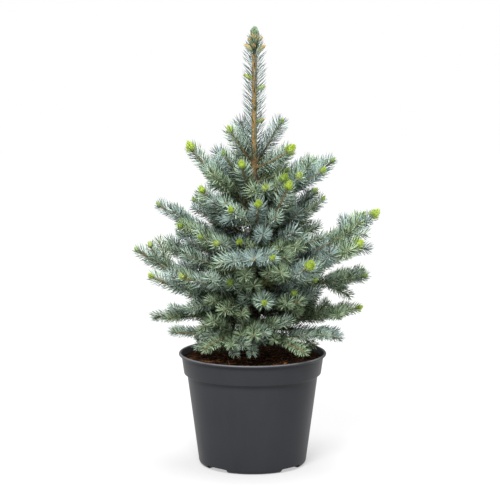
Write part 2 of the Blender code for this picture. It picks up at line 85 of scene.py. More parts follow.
# Branches, from the top down. Each row has the height of its foot, its azimuth in degrees, how far
# it reaches out, how far its tip rises over its foot, how much it sags between them, and its years.
BRANCHES = {
    "top_left_front": (466, 200, 38, 54, 0, 1),
    "top_right": (469, 20, 44, 63, 2, 1),
    "top_right_front": (463, 335, 57, 27, 4, 1),
    "top_left_back": (468, 118, 44, 62, 2, 1),
    "inner_right": (440, 10, 47, 16, 2, 1),
    "inner_left": (424, 193, 46, 60, 6, 1),
    "upper_left": (394, 186, 95, 98, 8, 2),
    "upper_right": (407, 356, 119, 67, 12, 2),
    "upper_front_left": (410, 245, 42, 58, 4, 1),
    "upper_front_right": (402, 305, 76, 48, 6, 2),
    "upper_back_right": (400, 60, 98, 72, 8, 2),
    "upper_back_left": (404, 128, 92, 78, 8, 2),
    "middle_front_left": (344, 215, 94, 88, 8, 2),
    "middle_left": (333, 175, 146, 71, 10, 3),
    "middle_front": (352, 274, 95, 64, 6, 2),
    "middle_front_right": (342, 305, 89, 97, 8, 2),
    "middle_right": (350, 350, 106, 66, 10, 2),
    "middle_back_right": (345, 42, 128, 70, 10, 3),
    "middle_back_left": (340, 132, 128, 72, 10, 3),
    "middle_back": (352, 88, 114, 62, 8, 2),
    "low_left": (270, 180, 179, 65, 26, 3),
    "low_left_back": (281, 150, 157, 58, 10, 3),
    "low_left_front": (261, 214, 128, 43, 6, 3),
    "low_left_outer": (256, 196, 160, 44, 16, 3),
    "low_front_left": (330, 240, 110, 28, -4, 2),
    "low_front": (318, 270, 148, 24, -8, 3),
    "low_front_right": (268, 301, 156, 60, 8, 3),
    "low_right_front": (273, 332, 177, 81, 12, 3),
    "low_right": (279, 0, 183, 109, 2, 3),
    "low_right_back": (262, 18, 178, 32, 8, 3),
    "low_back_right": (275, 62, 172, 66, 10, 3),
    "low_back_left": (270, 112, 170, 66, 10, 3),
    "skirt_left": (222, 175, 156, 6, -12, 3),
    "skirt_left_front": (206, 197, 131, 8, 4, 2),
    "skirt_front_left": (214, 235, 128, -14, -8, 2),
    "skirt_front": (222, 270, 128, 2, -8, 2),
    "skirt_front_right": (206, 305, 134, -10, -8, 2),
    "skirt_right_front": (213, 335, 145, -4, -10, 3),
    "skirt_right": (222, 355, 161, 24, 4, 3),
    "core_front": (258, 277, 128, 16, -6, 2),
    "core_front_left": (252, 244, 102, 4, -8, 2),
    "core_front_right": (248, 305, 117, 21, -2, 2),
    "skirt_back_right": (215, 38, 142, 10, -4, 3),
    "skirt_back": (220, 88, 146, 14, -4, 3),
    "skirt_back_left": (214, 138, 142, 10, -4, 3),
}
YEAR_ENDS = {1: (), 2: (0.46,), 3: (0.36, 0.66)}  # where side shoots stand on a main axis
SIDE_STAGGER = 0.02  # the two sides stand a little apart along their parent
SIDE_ANGLE = (40, 52)  # degrees off the parent
SIDE_TILT = (-10, 16)
SIDE_LENGTH = (0.70, 0.92)  # as a share of what is left of the parent
SIDE_CUTS = (1.0, 0.85, 0.7, 0.55, 0.4)  # shares of a side shoot, tried until it has room
SHORTEST_SHOOT = 24 * MM
SHOOT_ROOT = 12 * MM  # the part of a side shoot that may lie close to its parent
SHOOT_ROOM = 3 * MM  # kept between a shoot's axis and the edge of its branch's space
SHOOT_SPREAD = 7 * MM  # kept between the axes of one branch's shoots
AXIS_POINTS = 16


def unit(vector):
    """The vector at length one."""
    return vector / norm(vector)


def turned(vector, axis, angle):
    """The vector turned about a unit axis."""
    cos, sin = math.cos(angle), math.sin(angle)
    return vector * cos + np.cross(axis, vector) * sin + axis * np.dot(axis, vector) * (1 - cos)


def trunk_axis(height):
    """The middle of the stem at a height."""
    share = (height - SOIL_TOP) / (PLANT_TOP - SOIL_TOP)
    return np.array([LEAN[0] + (LEAN[1] - LEAN[0]) * share, 0.0, height])


def trunk_radius(height):
    """The stem's radius at a height."""
    heights, radii = zip(*TRUNK_RADII)
    return np.interp((height - SOIL_TOP) / MM, heights, radii) * MM


def along(axis, share):
    """A point of a shoot's axis, a quadratic curve through three guide points."""
    start, middle, end = axis
    return (1 - share) ** 2 * start + 2 * share * (1 - share) * middle + share ** 2 * end


def heading(axis, share):
    """The direction of a shoot's axis."""
    start, middle, end = axis
    return unit((1 - share) * (middle - start) + share * (end - middle))


def axis_points(axis, count=AXIS_POINTS):
    """Points evenly spread along a shoot's axis."""
    return np.array([along(axis, i / count) for i in range(count + 1)])


def axis_length(axis):
    """How long a shoot's axis is."""
    return norm(np.diff(axis_points(axis), axis=0), axis=1).sum()


def level_aim(azimuth):
    """The level direction at an azimuth in degrees."""
    angle = math.radians(azimuth)
    return np.array([math.cos(angle), math.sin(angle), 0.0])


def branch_axis(name):
    """The main axis of a branch, from the middle of the stem to its tip."""
    height, azimuth, reach, rise, sag, _ = BRANCHES[name]
    outward = level_aim(azimuth)
    foot = trunk_axis(height * MM)
    tip = foot + (outward * reach + UPWARD * rise) * MM
    middle = foot + (outward * reach * 0.52 + UPWARD * (rise * 0.5 - sag)) * MM
    return foot, middle, tip


AXES = {name: branch_axis(name) for name in BRANCHES}
NAMES = list(BRANCHES)
MARKS = np.array([axis_points(AXES[name], 28) for name in NAMES])
FAVOUR = np.array([BRANCHES[name][5] * 3 * MM for name in NAMES])


def room(points, name):
    """How far points lie inside a branch's own space, negative outside it."""
    points = np.atleast_2d(points)
    gaps = norm(points[:, None, None] - MARKS[None], axis=3).min(axis=2) - FAVOUR
    own = NAMES.index(name)
    mine = gaps[:, own].copy()
    gaps[:, own] = np.inf
    between = (gaps.min(axis=1) - mine) / 2
    return np.minimum(np.minimum(between, off_stem(points)), over_pot(points))


def off_stem(points):
    """How far points lie from the stem and, over the top whorl, from the leader's needles."""
    middle = np.array([trunk_axis(z) for z in points[:, 2]])
    needles = np.clip((points[:, 2] - LEADER_FOOT) * 1.1, 0, LEADER_REACH)
    off = norm(points[:, :2] - middle[:, :2], axis=1)
    return off - trunk_radius(points[:, 2]) - needles


def over_pot(points):
    """How far points lie over the compost and the pot's rim."""
    radius = norm(points[:, :2], axis=1)
    floor = np.where(radius < RIM_INNER - 3 * MM, SOIL_TOP + 1 * MM, POT_HEIGHT)
    return np.where(radius < RIM_OUTER + 3 * MM, points[:, 2] - floor, radius - RIM_OUTER)


def fits(axis, name, others):
    """Whether a side shoot keeps to its branch's space and off the branch's other shoots."""
    points = axis_points(axis)
    points = points[norm(points - points[0], axis=1) > SHOOT_ROOT]
    if room(points, name).min() < SHOOT_ROOM:
        return False
    return all(
        norm(points[:, None] - other[None], axis=2).min() > SHOOT_SPREAD
        for other in others)


def side_axis(rng, parent, share, side):
    """The axis of a side shoot, before it is cut to the room there is."""
    start = along(parent, share)
    tangent = heading(parent, share)
    across = unit(np.cross(tangent, UPWARD))
    over = np.cross(across, tangent)
    outward = turned(tangent, over, side * math.radians(rng.uniform(*SIDE_ANGLE)))
    outward = turned(outward, across, math.radians(rng.uniform(*SIDE_TILT)))
    length = (1 - share) * axis_length(parent) * rng.uniform(*SIDE_LENGTH)
    bend = tangent * 0.15 + UPWARD * rng.uniform(0.02, 0.12)
    return start, start + outward * length * 0.5, start + (outward + bend) * length


def cut_to(axis, share):
    """A shoot's axis, shortened to a share of its length."""
    start, middle, end = axis
    return start, start + (middle - start) * share, start + (end - start) * share


def grow(name, axis, years, order, key, shoots):
    """Adds a shoot and then its side shoots, older ones first."""
    shoots.append({"axis": axis, "order": order, "key": key})
    for year, year_end in enumerate(YEAR_ENDS[years], 1):
        for side in (-1, 1):
            side_key = f"{key}.{year}{'-+'[side > 0]}"
            rng = random.Random(side_key)
            whole = side_axis(rng, axis, year_end + side * SIDE_STAGGER, side)
            others = [axis_points(shoot["axis"]) for shoot in shoots]
            for cut in SIDE_CUTS:
                trial = cut_to(whole, cut)
                if axis_length(trial) < SHORTEST_SHOOT:
                    break
                if fits(trial, name, others):
                    grow(name, trial, years - year, order + 1, side_key, shoots)
                    break


def branch_shoots(name):
    """Every shoot of a branch, the main axis first."""
    shoots = []
    grow(name, AXES[name], BRANCHES[name][5], 0, name, shoots)
    return shoots


# --- Finishes

def operator(operation, reflected=False):
    """A method that joins a value and another one, or a number, in a Math node."""
    def join(self, other):
        first, second = (other, self) if reflected else (self, other)
        return self.finish.node("ShaderNodeMath", {"operation": operation}, {0: first, 1: second})
    return join


class Value:
    """The output of a material's node, on which sums are written as in Python."""

    __add__ = operator("ADD")
    __sub__ = operator("SUBTRACT")
    __mul__ = operator("MULTIPLY")
    __truediv__ = operator("DIVIDE")
    __pow__ = operator("POWER")
    __radd__ = operator("ADD", reflected=True)
    __rsub__ = operator("SUBTRACT", reflected=True)
    __rmul__ = operator("MULTIPLY", reflected=True)

    def __init__(self, finish, socket):
        self.finish = finish
        self.socket = socket


class Finish:
    """A material, its shader and the nodes that vary it."""

    def __init__(self, name, **constants):
        self.material = bpy.data.materials.new(name)
        self.material.use_nodes = True
        self.tree = self.material.node_tree
        self.shader = self.tree.nodes["Principled BSDF"]
        self.set(**constants)

    def set(self, **sockets):
        """Sets or links the shader's sockets, named with underscores for spaces."""
        for name, value in sockets.items():
            self.fill(self.shader.inputs[name.replace("_", " ")], value)

    def fill(self, socket, value):
        """Gives a socket a value or a link."""
        if isinstance(value, Value):
            self.tree.links.new(value.socket, socket)
        else:
            socket.default_value = (*value, 1) if socket.type == "RGBA" else value

    def node(self, kind, settings=None, sockets=None, output=0):
        """A node of a type, with its settings made first, then its sockets' values or links."""
        made = self.tree.nodes.new(kind)
        for name, value in (settings or {}).items():
            if name == "stops":
                self.stops(made.color_ramp, value)
            else:
                setattr(made, name, value)
        for name, value in (sockets or {}).items():
            self.fill(made.inputs[name], value)
        return Value(self, made.outputs[output])

    @staticmethod
    def stops(ramp, stops):
        """Sets a colour ramp's stops, each a place and a colour."""
        while len(ramp.elements) < len(stops):
            ramp.elements.new(1.0)
        for element, (place, colour) in zip(ramp.elements, stops):
            element.position = place
            element.color = (*colour, 1)

    def place(self):
        """The point of the surface, in the plant's own frame."""
        return self.node("ShaderNodeTexCoord", output="Object")

    def coordinates(self):
        """The three coordinates of the point of the surface."""
        split = self.node("ShaderNodeSeparateXYZ", sockets={0: self.place()}).socket.node
        return [Value(self, output) for output in split.outputs]

    def stretched(self, scale):
        """The point of the surface with its three sides scaled."""
        return self.node("ShaderNodeMapping", sockets={"Vector": self.place(), "Scale": scale})

    def noise(self, scale, detail=3, roughness=0.5, at=None):
        """A cloudy value from 0 to 1."""
        sockets = {
            "Vector": at or self.place(), "Scale": scale, "Detail": detail, "Roughness": roughness}
        return self.node("ShaderNodeTexNoise", sockets=sockets, output="Fac")

    def cells(self, scale, at=None, feature="F1"):
        """The distance to the nearest of many scattered points, or to the edge between them."""
        return self.node(
            "ShaderNodeTexVoronoi", {"feature": feature}, {"Vector": at or self.place(), "Scale": scale},
            "Distance")

    def ramp(self, value, *stops):
        """A colour that follows a value."""
        return self.node("ShaderNodeValToRGB", {"stops": stops}, {"Fac": value}, "Color")

    def spread(self, value, low, high, to_low=0.0, to_high=1.0):
        """A value moved from one range to another, and held in it."""
        return self.node(
            "ShaderNodeMapRange", {"clamp": True},
            {"Value": value, "From Min": low, "From Max": high, "To Min": to_low, "To Max": to_high})

    def blend(self, share, first, second):
        """Two colours mixed by a share."""
        return self.node(
            "ShaderNodeMix", {"data_type": "RGBA"}, {"Factor": share, 6: first, 7: second}, 2)

    def bump(self, height, distance, strength=1.0):
        """The surface's direction as a height changes it."""
        return self.node(
            "ShaderNodeBump", sockets={"Height": height, "Distance": distance, "Strength": strength},
            output="Normal")


def pot_plastic():
    """Dark satin plastic with a faint moulded grain, dull patches and a painted highlight along the
    bead's top.
    """
    finish = Finish("pot_plastic", Specular_IOR_Level=0.16)
    dull = finish.noise(14, 4)
    streaks = finish.noise(9, 3, 0.5, finish.stretched((6, 6, 0.6)))
    grain = finish.noise(1400, 2)
    height = finish.coordinates()[2]
    # Painted highlight: the bead's top, over about 174.2 mm, is painted a lighter grey for the light it
    # catches.
    painted_lip_highlight = finish.spread(height + grain * 0.0006, 0.1742, 0.1756)
    base = finish.ramp(
        dull * 0.6 + streaks * 0.4, (0.3, (0.0200, 0.0208, 0.0246)), (0.7, (0.0250, 0.0260, 0.0304)))
    finish.set(
        Base_Color=finish.blend(painted_lip_highlight, base, (0.115, 0.118, 0.125)),
        Roughness=finish.spread(dull * 0.5 + streaks * 0.5, 0.3, 0.7, 0.36, 0.48),
        Normal=finish.bump(grain * 0.5 + streaks * 0.5, 0.0001, 0.35))
    return finish.material


def compost_finish():
    """Dark peat with reddish bits of bark."""
    finish = Finish("compost", Roughness=0.95, Specular_IOR_Level=0.05)
    crumbs = finish.cells(420)
    clouds = finish.noise(90, 5, 0.65)
    finish.set(
        Base_Color=finish.ramp(
            clouds * 0.75 + crumbs * 0.35,
            (0.28, (0.006, 0.0035, 0.002)), (0.5, (0.017, 0.009, 0.005)), (0.72, (0.055, 0.026, 0.012))),
        Normal=finish.bump(crumbs * 0.6 + finish.noise(700, 4) * 0.6, 0.0012, 0.9))
    return finish.material


BARK_CRACKS = (0.040, 0.024, 0.010)
BARKS = (  # the dark and the light tone of old, young and the leader's bark
    ((0.024, 0.015, 0.009), (0.085, 0.056, 0.034)),
    ((0.140, 0.110, 0.052), (0.280, 0.228, 0.118)),
    ((0.180, 0.106, 0.032), (0.320, 0.205, 0.066)))


def bark_finish():
    """Grey-brown scales on the old wood, tan on the young, orange-brown on the leader."""
    finish = Finish("bark", Roughness=0.8, Specular_IOR_Level=0.3)
    across, away, height = finish.coordinates()
    off = (across * across + away * away) ** 0.5
    lift = finish.spread(height, 0.39, 0.45) * 0.06
    youth = finish.spread(off + lift + finish.noise(25, 3) * 0.04, 0.045, 0.115)
    youth = youth * finish.spread(off, 0.006, 0.014)
    top = finish.spread(height + finish.noise(30, 2) * 0.02, 0.455, 0.500)
    top = top * finish.spread(off, 0.016, 0.008)
    clouds = finish.noise(240, 5, 0.6)
    scales = finish.cells(260, finish.stretched((1, 1, 0.45)), "DISTANCE_TO_EDGE")
    old, young, leader = (finish.ramp(clouds, (0.3, dark), (0.7, light)) for dark, light in BARKS)
    cracks = finish.spread(scales, 0.0, 0.12)
    base = finish.blend(top, finish.blend(youth, old, young), leader)
    finish.set(
        Base_Color=finish.blend(cracks * 0.5 + 0.5, BARK_CRACKS, base),
        Normal=finish.bump(cracks * 0.7 + clouds * 0.5, 0.0005, 0.8))
    return finish.material


def mottled(name, dark, light, noise=(240, 5, 0.6), edge=0.3, roughness=0.75, specular=0.3):
    """Bark in two mottled tones with a fine grain: that of young shoots, and of loose bits."""
    finish = Finish(name, Roughness=roughness, Specular_IOR_Level=specular)
    clouds = finish.noise(*noise)
    finish.set(
        Base_Color=finish.ramp(clouds, (edge, dark), (1 - edge, light)),
        Normal=finish.bump(finish.noise(1500, 3), 0.0003, 0.5))
    return finish.material


def plain(name, colour, roughness=0.5, specular=0.35):
    """A plain colour for one kind of needles or scales."""
    return Finish(
        name, Base_Color=colour, Roughness=roughness, Specular_IOR_Level=specular).material


# Each spray's needles are of one of four hues, in three depths from pale to dark.
NEEDLE_KINDS = {
    "frosted_pale": (0.345, 0.445, 0.362),
    "frosted": (0.155, 0.225, 0.170),
    "frosted_deep": (0.042, 0.066, 0.043),
    "green_pale": (0.308, 0.402, 0.258),
    "green": (0.135, 0.198, 0.112),
    "green_deep": (0.036, 0.056, 0.028),
    "steel_pale": (0.294, 0.383, 0.355),
    "steel": (0.140, 0.195, 0.175),
    "steel_deep": (0.039, 0.057, 0.048),
    "olive_pale": (0.185, 0.210, 0.088),
    "olive": (0.095, 0.115, 0.045),
    "olive_deep": (0.048, 0.056, 0.022),
}
TIP_KINDS = {  # colour, roughness
    "tuft_lime": ((0.300, 0.400, 0.040), 0.5),
    "tuft_pale": ((0.380, 0.450, 0.130), 0.5),
    "tuft_green": ((0.190, 0.280, 0.055), 0.5),
    "bud_scale": ((0.190, 0.150, 0.072), 0.6),
    "bud_tan": ((0.250, 0.230, 0.110), 0.6),
    "bud_orange": ((0.430, 0.270, 0.085), 0.6),
}
BIT_KINDS = {  # dark and light tone
    "bark_bits_dark": ((0.010, 0.006, 0.004), (0.035, 0.018, 0.009)),
    "bark_bits_brown": ((0.035, 0.016, 0.008), (0.100, 0.042, 0.016)),
    "bark_bits_red": ((0.085, 0.032, 0.012), (0.230, 0.095, 0.036)),
}


# --- Shaping by hand: operators on one piece at a time

def let_go():
    """Deselects everything, so that an operator acts only on what is picked next."""
    bpy.ops.object.select_all(action="DESELECT")


def pick(piece):
    """Selects one piece alone and makes it the active one."""
    let_go()
    piece.select_set(True)
    bpy.context.view_layer.objects.active = piece


def draw_up(name, rings, sides):
    """A closed solid of round rings: a disc is extruded, moved and resized from ring to ring.

    Each ring has its radius, its height and how far it stands off the Z axis.
    """
    let_go()
    radius, height, off = rings[0]
    bpy.ops.mesh.primitive_circle_add(
        vertices=sides, radius=radius, fill_type="NGON", location=(off, 0, height))
    made = bpy.context.object
    made.name = name
    made.data.name = name
    bpy.ops.object.transform_apply(location=True, rotation=True, scale=True)
    bpy.ops.object.mode_set(mode="EDIT")
    bpy.ops.mesh.select_all(action="SELECT")
    for next_radius, next_height, next_off in rings[1:]:
        step = (next_off - off, 0, next_height - height)
        bpy.ops.mesh.extrude_region_move(TRANSFORM_OT_translate={"value": step})
        share = next_radius / radius
        middle = (next_off, 0, next_height)
        bpy.ops.transform.resize(value=(share, share, 1), center_override=middle)
        radius, height, off = next_radius, next_height, next_off
    bpy.ops.mesh.select_all(action="SELECT")
    bpy.ops.mesh.normals_make_consistent(inside=False)
    bpy.ops.object.mode_set(mode="OBJECT")
    return made


def linked(name, data):
    """A new object of the scene that shows the data."""
    made = bpy.data.objects.new(name, data)
    bpy.context.scene.collection.objects.link(made)
    return made


def use(piece, kind, **settings):
    """Adds a modifier with its settings and applies it."""
    pick(piece)
    modifier = piece.modifiers.new(kind.title(), kind)
    for name, value in settings.items():
        setattr(modifier, name, value)
    bpy.ops.object.modifier_apply(modifier=modifier.name)


def roughen(piece, pattern, size, strength, direction="NORMAL", where=""):
    """Displaces a piece by a pattern of a grain size."""
    texture = bpy.data.textures.new(f"{piece.name} {pattern.lower()}", pattern)
    texture.noise_scale = size
    use(
        piece, "DISPLACE", texture=texture, strength=strength, mid_level=0.5, direction=direction,
        texture_coords="LOCAL", vertex_group=where)


def held(value, low=0.0):
    """The value, kept from falling under a limit or rising over one."""
    return min(1.0, max(low, value))


def dress(piece, slot, *nodes):
    """Puts a finished piece on the plant's body, in the place of the named solids."""
    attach(piece, BODY)
    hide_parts(*nodes)


def complete(piece, angle, finish, slot, *nodes):
    """Smooths a shaped piece with its sharp edges kept, gives it its finish and dresses it."""
    pick(piece)
    bpy.ops.object.shade_smooth_by_angle(angle=math.radians(angle))
    piece.data.materials.clear()
    piece.data.materials.append(finish)
    dress(piece, slot, *nodes)


# --- Pot and compost

def arc(middle, radii, first, last, steps):
    """Points of an ellipse's arc in an outline, from one angle to another in degrees."""
    angles = np.radians(np.linspace(first, last, steps + 1))
    return [
        (middle[0] + radii[0] * math.cos(a), middle[1] + radii[1] * math.sin(a)) for a in angles]


def pot(finish):
    """The nursery pot: tapering wall, stepped band, rolled bead, and four notches in its foot."""
    corner = (CORNER[0] - FOOT_RADIUS, CORNER[1])
    outline = [
        *arc((FOOT_RADIUS, CORNER[1]), corner, -88, 0, 6),
        BODY_TOP,
        # The step out to the band, its edges rounded.
        (STEP_INNER - 0.25 * MM, STEP_HEIGHT - 0.9 * MM),
        (STEP_INNER + 0.3 * MM, STEP_HEIGHT - 0.1 * MM),
        (STEP_OUTER - 0.9 * MM, STEP_HEIGHT),
        (STEP_OUTER - 0.25 * MM, STEP_HEIGHT + 0.25 * MM),
        (STEP_OUTER, STEP_HEIGHT + 0.9 * MM),
        # The band and the bead on it.
        (BAND_TOP[0] - 0.1 * MM, BAND_TOP[1]),
        (BAND_TOP[0] + 0.2 * MM, BAND_TOP[1] + 2.4 * MM),
        *arc(LIP_MIDDLE, LIP_RADII, -80, 170, 16),
        # Down the inside and over the floor.
        (BAND_FOOT[0] - POT_WALL, BAND_FOOT[1]),
        (BODY_TOP[0] - POT_WALL, BODY_TOP[1]),
        (CORNER[0] - POT_WALL, FOOT_RING[2]),
        (FOOT_RING[1], FOOT_RING[2]),
        (FOOT_RING[0], POT_FLOOR),
    ]
    made = draw_up("nursery_pot", [(r, z, 0) for r, z in outline], POT_SIDES)
    for turn in NOTCH_TURNS:
        notch(made, math.radians(turn - 90))
    complete(made, 38, finish, "pot_plastic", "pot")


def notch(made, angle):
    """Cuts one drain notch in the pot's foot, with rounded edges."""
    across, inward_age_and_shade, height = NOTCH_SIZE
    let_go()
    place = (CORNER[0] * math.cos(angle), CORNER[0] * math.sin(angle), 0)
    bpy.ops.mesh.primitive_cube_add(size=1, location=place, rotation=(0, 0, angle))
    cutter = bpy.context.object
    cutter.scale = (inward_age_and_shade, across, height)
    bpy.ops.object.transform_apply(location=True, rotation=True, scale=True)
    use(cutter, "BEVEL", width=NOTCH_ROUNDING, segments=3)
    use(made, "BOOLEAN", operation="DIFFERENCE", solver="EXACT", object=cutter)
    bpy.data.objects.remove(cutter, do_unlink=True)


SOIL_SIDES = 160
SOIL_RINGS = 52
SOIL_CENTRE = 3 * MM
GAP = 0.3 * MM
CRUMBS = (  # pattern, grain size in m, strength
    ("CLOUDS", 0.022, 3.2 * MM), ("VORONOI", 0.0045, -2.6 * MM), ("CLOUDS", 0.0030, 1.6 * MM))


def compost(finish):
    """The compost: a body that fills the pot, its top crumbled."""
    edge = SOIL_TOP - SOIL_EDGE
    slope = (BAND_TOP[0] - BAND_FOOT[0]) / (BAND_TOP[1] - BAND_FOOT[1])
    rim = BAND_FOOT[0] - POT_WALL - GAP + slope * (edge - BAND_FOOT[1])
    inset = POT_WALL + GAP
    rings = [(CORNER[0] - inset, FOOT_RING[2] + GAP, 0), (BODY_TOP[0] - inset, BODY_TOP[1], 0)]
    rings += [(BAND_FOOT[0] - inset, BAND_FOOT[1], 0), (rim, edge, 0)]
    for i in range(1, SOIL_RINGS + 1):
        radius = rim + (SOIL_CENTRE - rim) * i / SOIL_RINGS
        rings.append((radius, SOIL_TOP - SOIL_EDGE * (radius / rim) ** 2, 0))
    made = draw_up("crumbled_compost", rings, SOIL_SIDES)
    for polygon in made.data.polygons:
        polygon.select = polygon.normal.z > 0.6
    pick(made)
    bpy.ops.object.mode_set(mode="EDIT")
    bpy.ops.mesh.select_mode(type="FACE")
    bpy.ops.mesh.subdivide(number_cuts=1)
    bpy.ops.object.mode_set(mode="OBJECT")
    top = made.vertex_groups.new(name="top")
    inner = rim - 2 * MM
    for vertex in made.data.vertices:
        off = vertex.co.xy.length
        if vertex.co.z > edge - 0.1 * MM:
            top.add([vertex.index], held((inner - off) / (8 * MM), 0.15), "REPLACE")
    for crumbs in CRUMBS:
        roughen(made, *crumbs, "Z", "top")
    complete(made, 50, finish, "compost", "compost")


# --- Many small things, gathered into one piece from arrays

class Heap:
    """Points and three-cornered faces of many small things that become one piece."""

    def __init__(self):
        self.points = []
        self.faces = []
        self.finishes = []
        self.count = 0

    def add(self, points, faces, finish):
        """Adds things of one build: their points, thing by thing, faces and finishes."""
        things, each = points.shape[:2]
        faces = np.asarray(faces)
        starts = self.count + np.arange(things)[:, None, None] * each
        self.faces.append((faces[None] + starts).reshape(-1, 3))
        self.points.append(points.reshape(-1, 3))
        self.finishes.append(np.repeat(np.broadcast_to(finish, things), len(faces)))
        self.count += things * each

    def piece(self, name, finishes, slot, nodes, soft=False):
        """The gathered things as one mesh, dressed as a piece of the plant."""
        points = np.vstack(self.points)
        faces = np.vstack(self.faces)
        mesh = bpy.data.meshes.new(name)
        mesh.vertices.add(len(points))
        mesh.vertices.foreach_set("co", points.ravel())
        mesh.loops.add(faces.size)
        mesh.loops.foreach_set("vertex_index", faces.ravel())
        mesh.polygons.add(len(faces))
        mesh.polygons.foreach_set("loop_start", np.arange(0, faces.size, 3))
        mesh.polygons.foreach_set("material_index", np.concatenate(self.finishes))
        mesh.polygons.foreach_set("use_smooth", np.full(len(faces), soft))
        mesh.update()
        for finish in finishes:
            mesh.materials.append(finish)
        dress(linked(name, mesh), slot, *nodes)


def units(vectors):
    """Vectors, row by row, at length one."""
    return vectors / np.maximum(norm(vectors, axis=-1, keepdims=True), 1e-12)


def tube_faces(sides, rings, high_tip, low_tip=None):
    """The faces of a tube of rings that ends in a point, and starts at a point or a flat foot."""
    faces = [] if low_tip else [tuple(reversed(range(sides)))]
    for i in range(rings - 1):
        for k in range(sides):
            a, b = i * sides + k, i * sides + (k + 1) % sides
            faces += [(a, b, b + sides), (a, b + sides, a + sides)]
    last = (rings - 1) * sides
    for k in range(sides):
        faces.append((last + k, last + (k + 1) % sides, high_tip))
        if low_tip:
            faces.append(((k + 1) % sides, k, low_tip))
    return faces


BLADE_SIDES = 3
BLADE_FACES = tube_faces(BLADE_SIDES, 2, 2 * BLADE_SIDES)
BLADE_RINGS = ((0.0, 0.60), (0.68, 0.96))  # share of the length, share of the width


def blades(roots, aims, bends, lengths, widths, backs, flat=0.8):
    """Needles or scales: slim closed blades that curve from their roots.

    backs is the direction that each blade turns its ridge to.
    """
    lengths = lengths[:, None]
    across = units(np.cross(aims, backs))
    over = np.cross(across, aims)
    points = np.empty((len(roots), 2 * BLADE_SIDES + 1, 3))
    for i, (share, width) in enumerate(BLADE_RINGS):
        middles = roots + aims * lengths * share + bends * lengths * share ** 2
        for k in range(BLADE_SIDES):
            angle = math.tau * k / BLADE_SIDES
            reach = across * math.sin(angle) + over * math.cos(angle) * flat
            points[:, i * BLADE_SIDES + k] = middles + reach * (widths * width)[:, None]
    points[:, -1] = roots + aims * lengths + bends * lengths
    return points


# --- Trunk and stems

TRUNK_SIDES = 18
TRUNK_STEP = 3.5 * MM
TRUNK_SUNK = 3 * MM
COLLAR = 1.5  # how much a branch swells where it leaves the trunk
COLLAR_RUN = 4 * MM  # how far out from the trunk it has mostly gone
STEM_RADII = (3.2 * MM, 2.1 * MM)
YOUNG_STEM_RADII = (2.6 * MM, 1.8 * MM)
STEM_POINTS = 56
BARK_DEPTHS = (0.7 * MM, 0.4 * MM)  # over the trunk's radius, and more of it on the leader
BARK_THINS = 20 * MM  # how far under the leader's end it starts to thin out
LIMBS = (
    "middle_left", "middle_back_right", "middle_back_left", "low_left", "low_left_back",
    "low_right_front", "low_right", "low_right_back", "low_back_right", "low_back_left")


def trunk(finish):
    """The trunk from under the compost to the top buds, with bark in relief."""
    first = SOIL_TOP - TRUNK_SUNK
    count = round((LEADER_END - first) / TRUNK_STEP)
    rings = []
    for i in range(count + 1):
        height = first + (LEADER_END - first) * i / count
        bark = BARK_DEPTHS[0] + BARK_DEPTHS[1] * held((height - 0.44) / 0.06)
        bark *= held((LEADER_END - height) / BARK_THINS)
        rings.append((trunk_radius(height) + bark, height, trunk_axis(height)[0]))
    made = draw_up("trunk_bark", rings, TRUNK_SIDES)
    use(made, "SUBSURF", levels=1, render_levels=1)
    old = made.vertex_groups.new(name="old wood")
    for vertex in made.data.vertices:
        old.add([vertex.index], held((0.50 - vertex.co.z) / 0.30, 0.18), "REPLACE")
    roughen(made, "CLOUDS", 0.020, 2.0 * MM, where="old wood")
    use(made, "SUBSURF", levels=1, render_levels=1)
    roughen(made, "VORONOI", 0.0040, -1.3 * MM, where="old wood")
    roughen(made, "CLOUDS", 0.0022, 0.8 * MM, where="old wood")
    complete(made, 60, finish, "bark", "trunk")


def stem_radii(name):
    """The radii of a branch's main stem at its foot and its tip."""
    return STEM_RADII if BRANCHES[name][5] == 3 else YOUNG_STEM_RADII


def boughs(finish):
    """The main stems of all branches, from inside the trunk to their tips."""
    curve = bpy.data.curves.new("bough_bark", "CURVE")
    curve.dimensions = "3D"
    curve.bevel_depth = 1.0
    curve.bevel_resolution = 3
    curve.use_fill_caps = True
    for name in NAMES:
        points = axis_points(AXES[name], STEM_POINTS)
        foot, tip = stem_radii(name)
        spline = curve.splines.new("POLY")
        spline.points.add(len(points) - 1)
        for i, (point, place) in enumerate(zip(spline.points, points)):
            share = i / (len(points) - 1)
            off = norm((place - points[0])[:2]) - trunk_radius(place[2])
            swell = 1 + (COLLAR - 1) * math.exp(-max(off, 0) / COLLAR_RUN)
            point.co = (*place, 1)
            point.radius = (foot + (tip - foot) * share) * swell
    pick(linked("bough_bark", curve))
    bpy.ops.object.convert(target="MESH")
    made = bpy.context.object
    roughen(made, "VORONOI", 0.0035, -0.7 * MM)
    roughen(made, "CLOUDS", 0.0020, 0.5 * MM)
    complete(made, 60, finish, "bark", *[f"{name}_bough" for name in LIMBS])


# --- Shoots: the branches' own, and the finer ones between them

FINE_STEP = (15, 26)  # mm along a shoot
FINE_FOOT = 11 * MM  # left free at a shoot's foot
FINE_TIPS = ((270 * MM, 400 * MM), (28 * MM, 56 * MM))  # left free at a main stem's tip, by height
SIDE_TIP = 15 * MM  # and at a side shoot's
FINE_TOP = 455 * MM  # no finer shoots on the branches above
FINE_LENGTH = (0.50, 0.85)  # as a share of what is left of the parent
FINE_ANGLE = (37, 54)  # degrees off the parent
FINE_LIMITS = (27 * MM, 78 * MM)
FINE_ROOT = 20.5 * MM
FINE_SPREAD = 12 * MM
FINE_CLEAR = 14 * MM  # over the pot's rim and the compost
FINE_CUTS = (1.0, 0.8, 0.62, 0.48)
FINE_TURNS = ((90, 22), (-90, 22), (0, 30), (180, 30))  # round the parent from its upper side
FINE_CHANCES = (0.35, 0.35, 0.12, 0.18)
INNER_STEP = 2.4  # mm up the trunk from one inner branch to the next
INNER_HEIGHTS = (206, 408)
INNER_REACH = (0.55, 0.88)  # as a share of the crown's own reach at that height
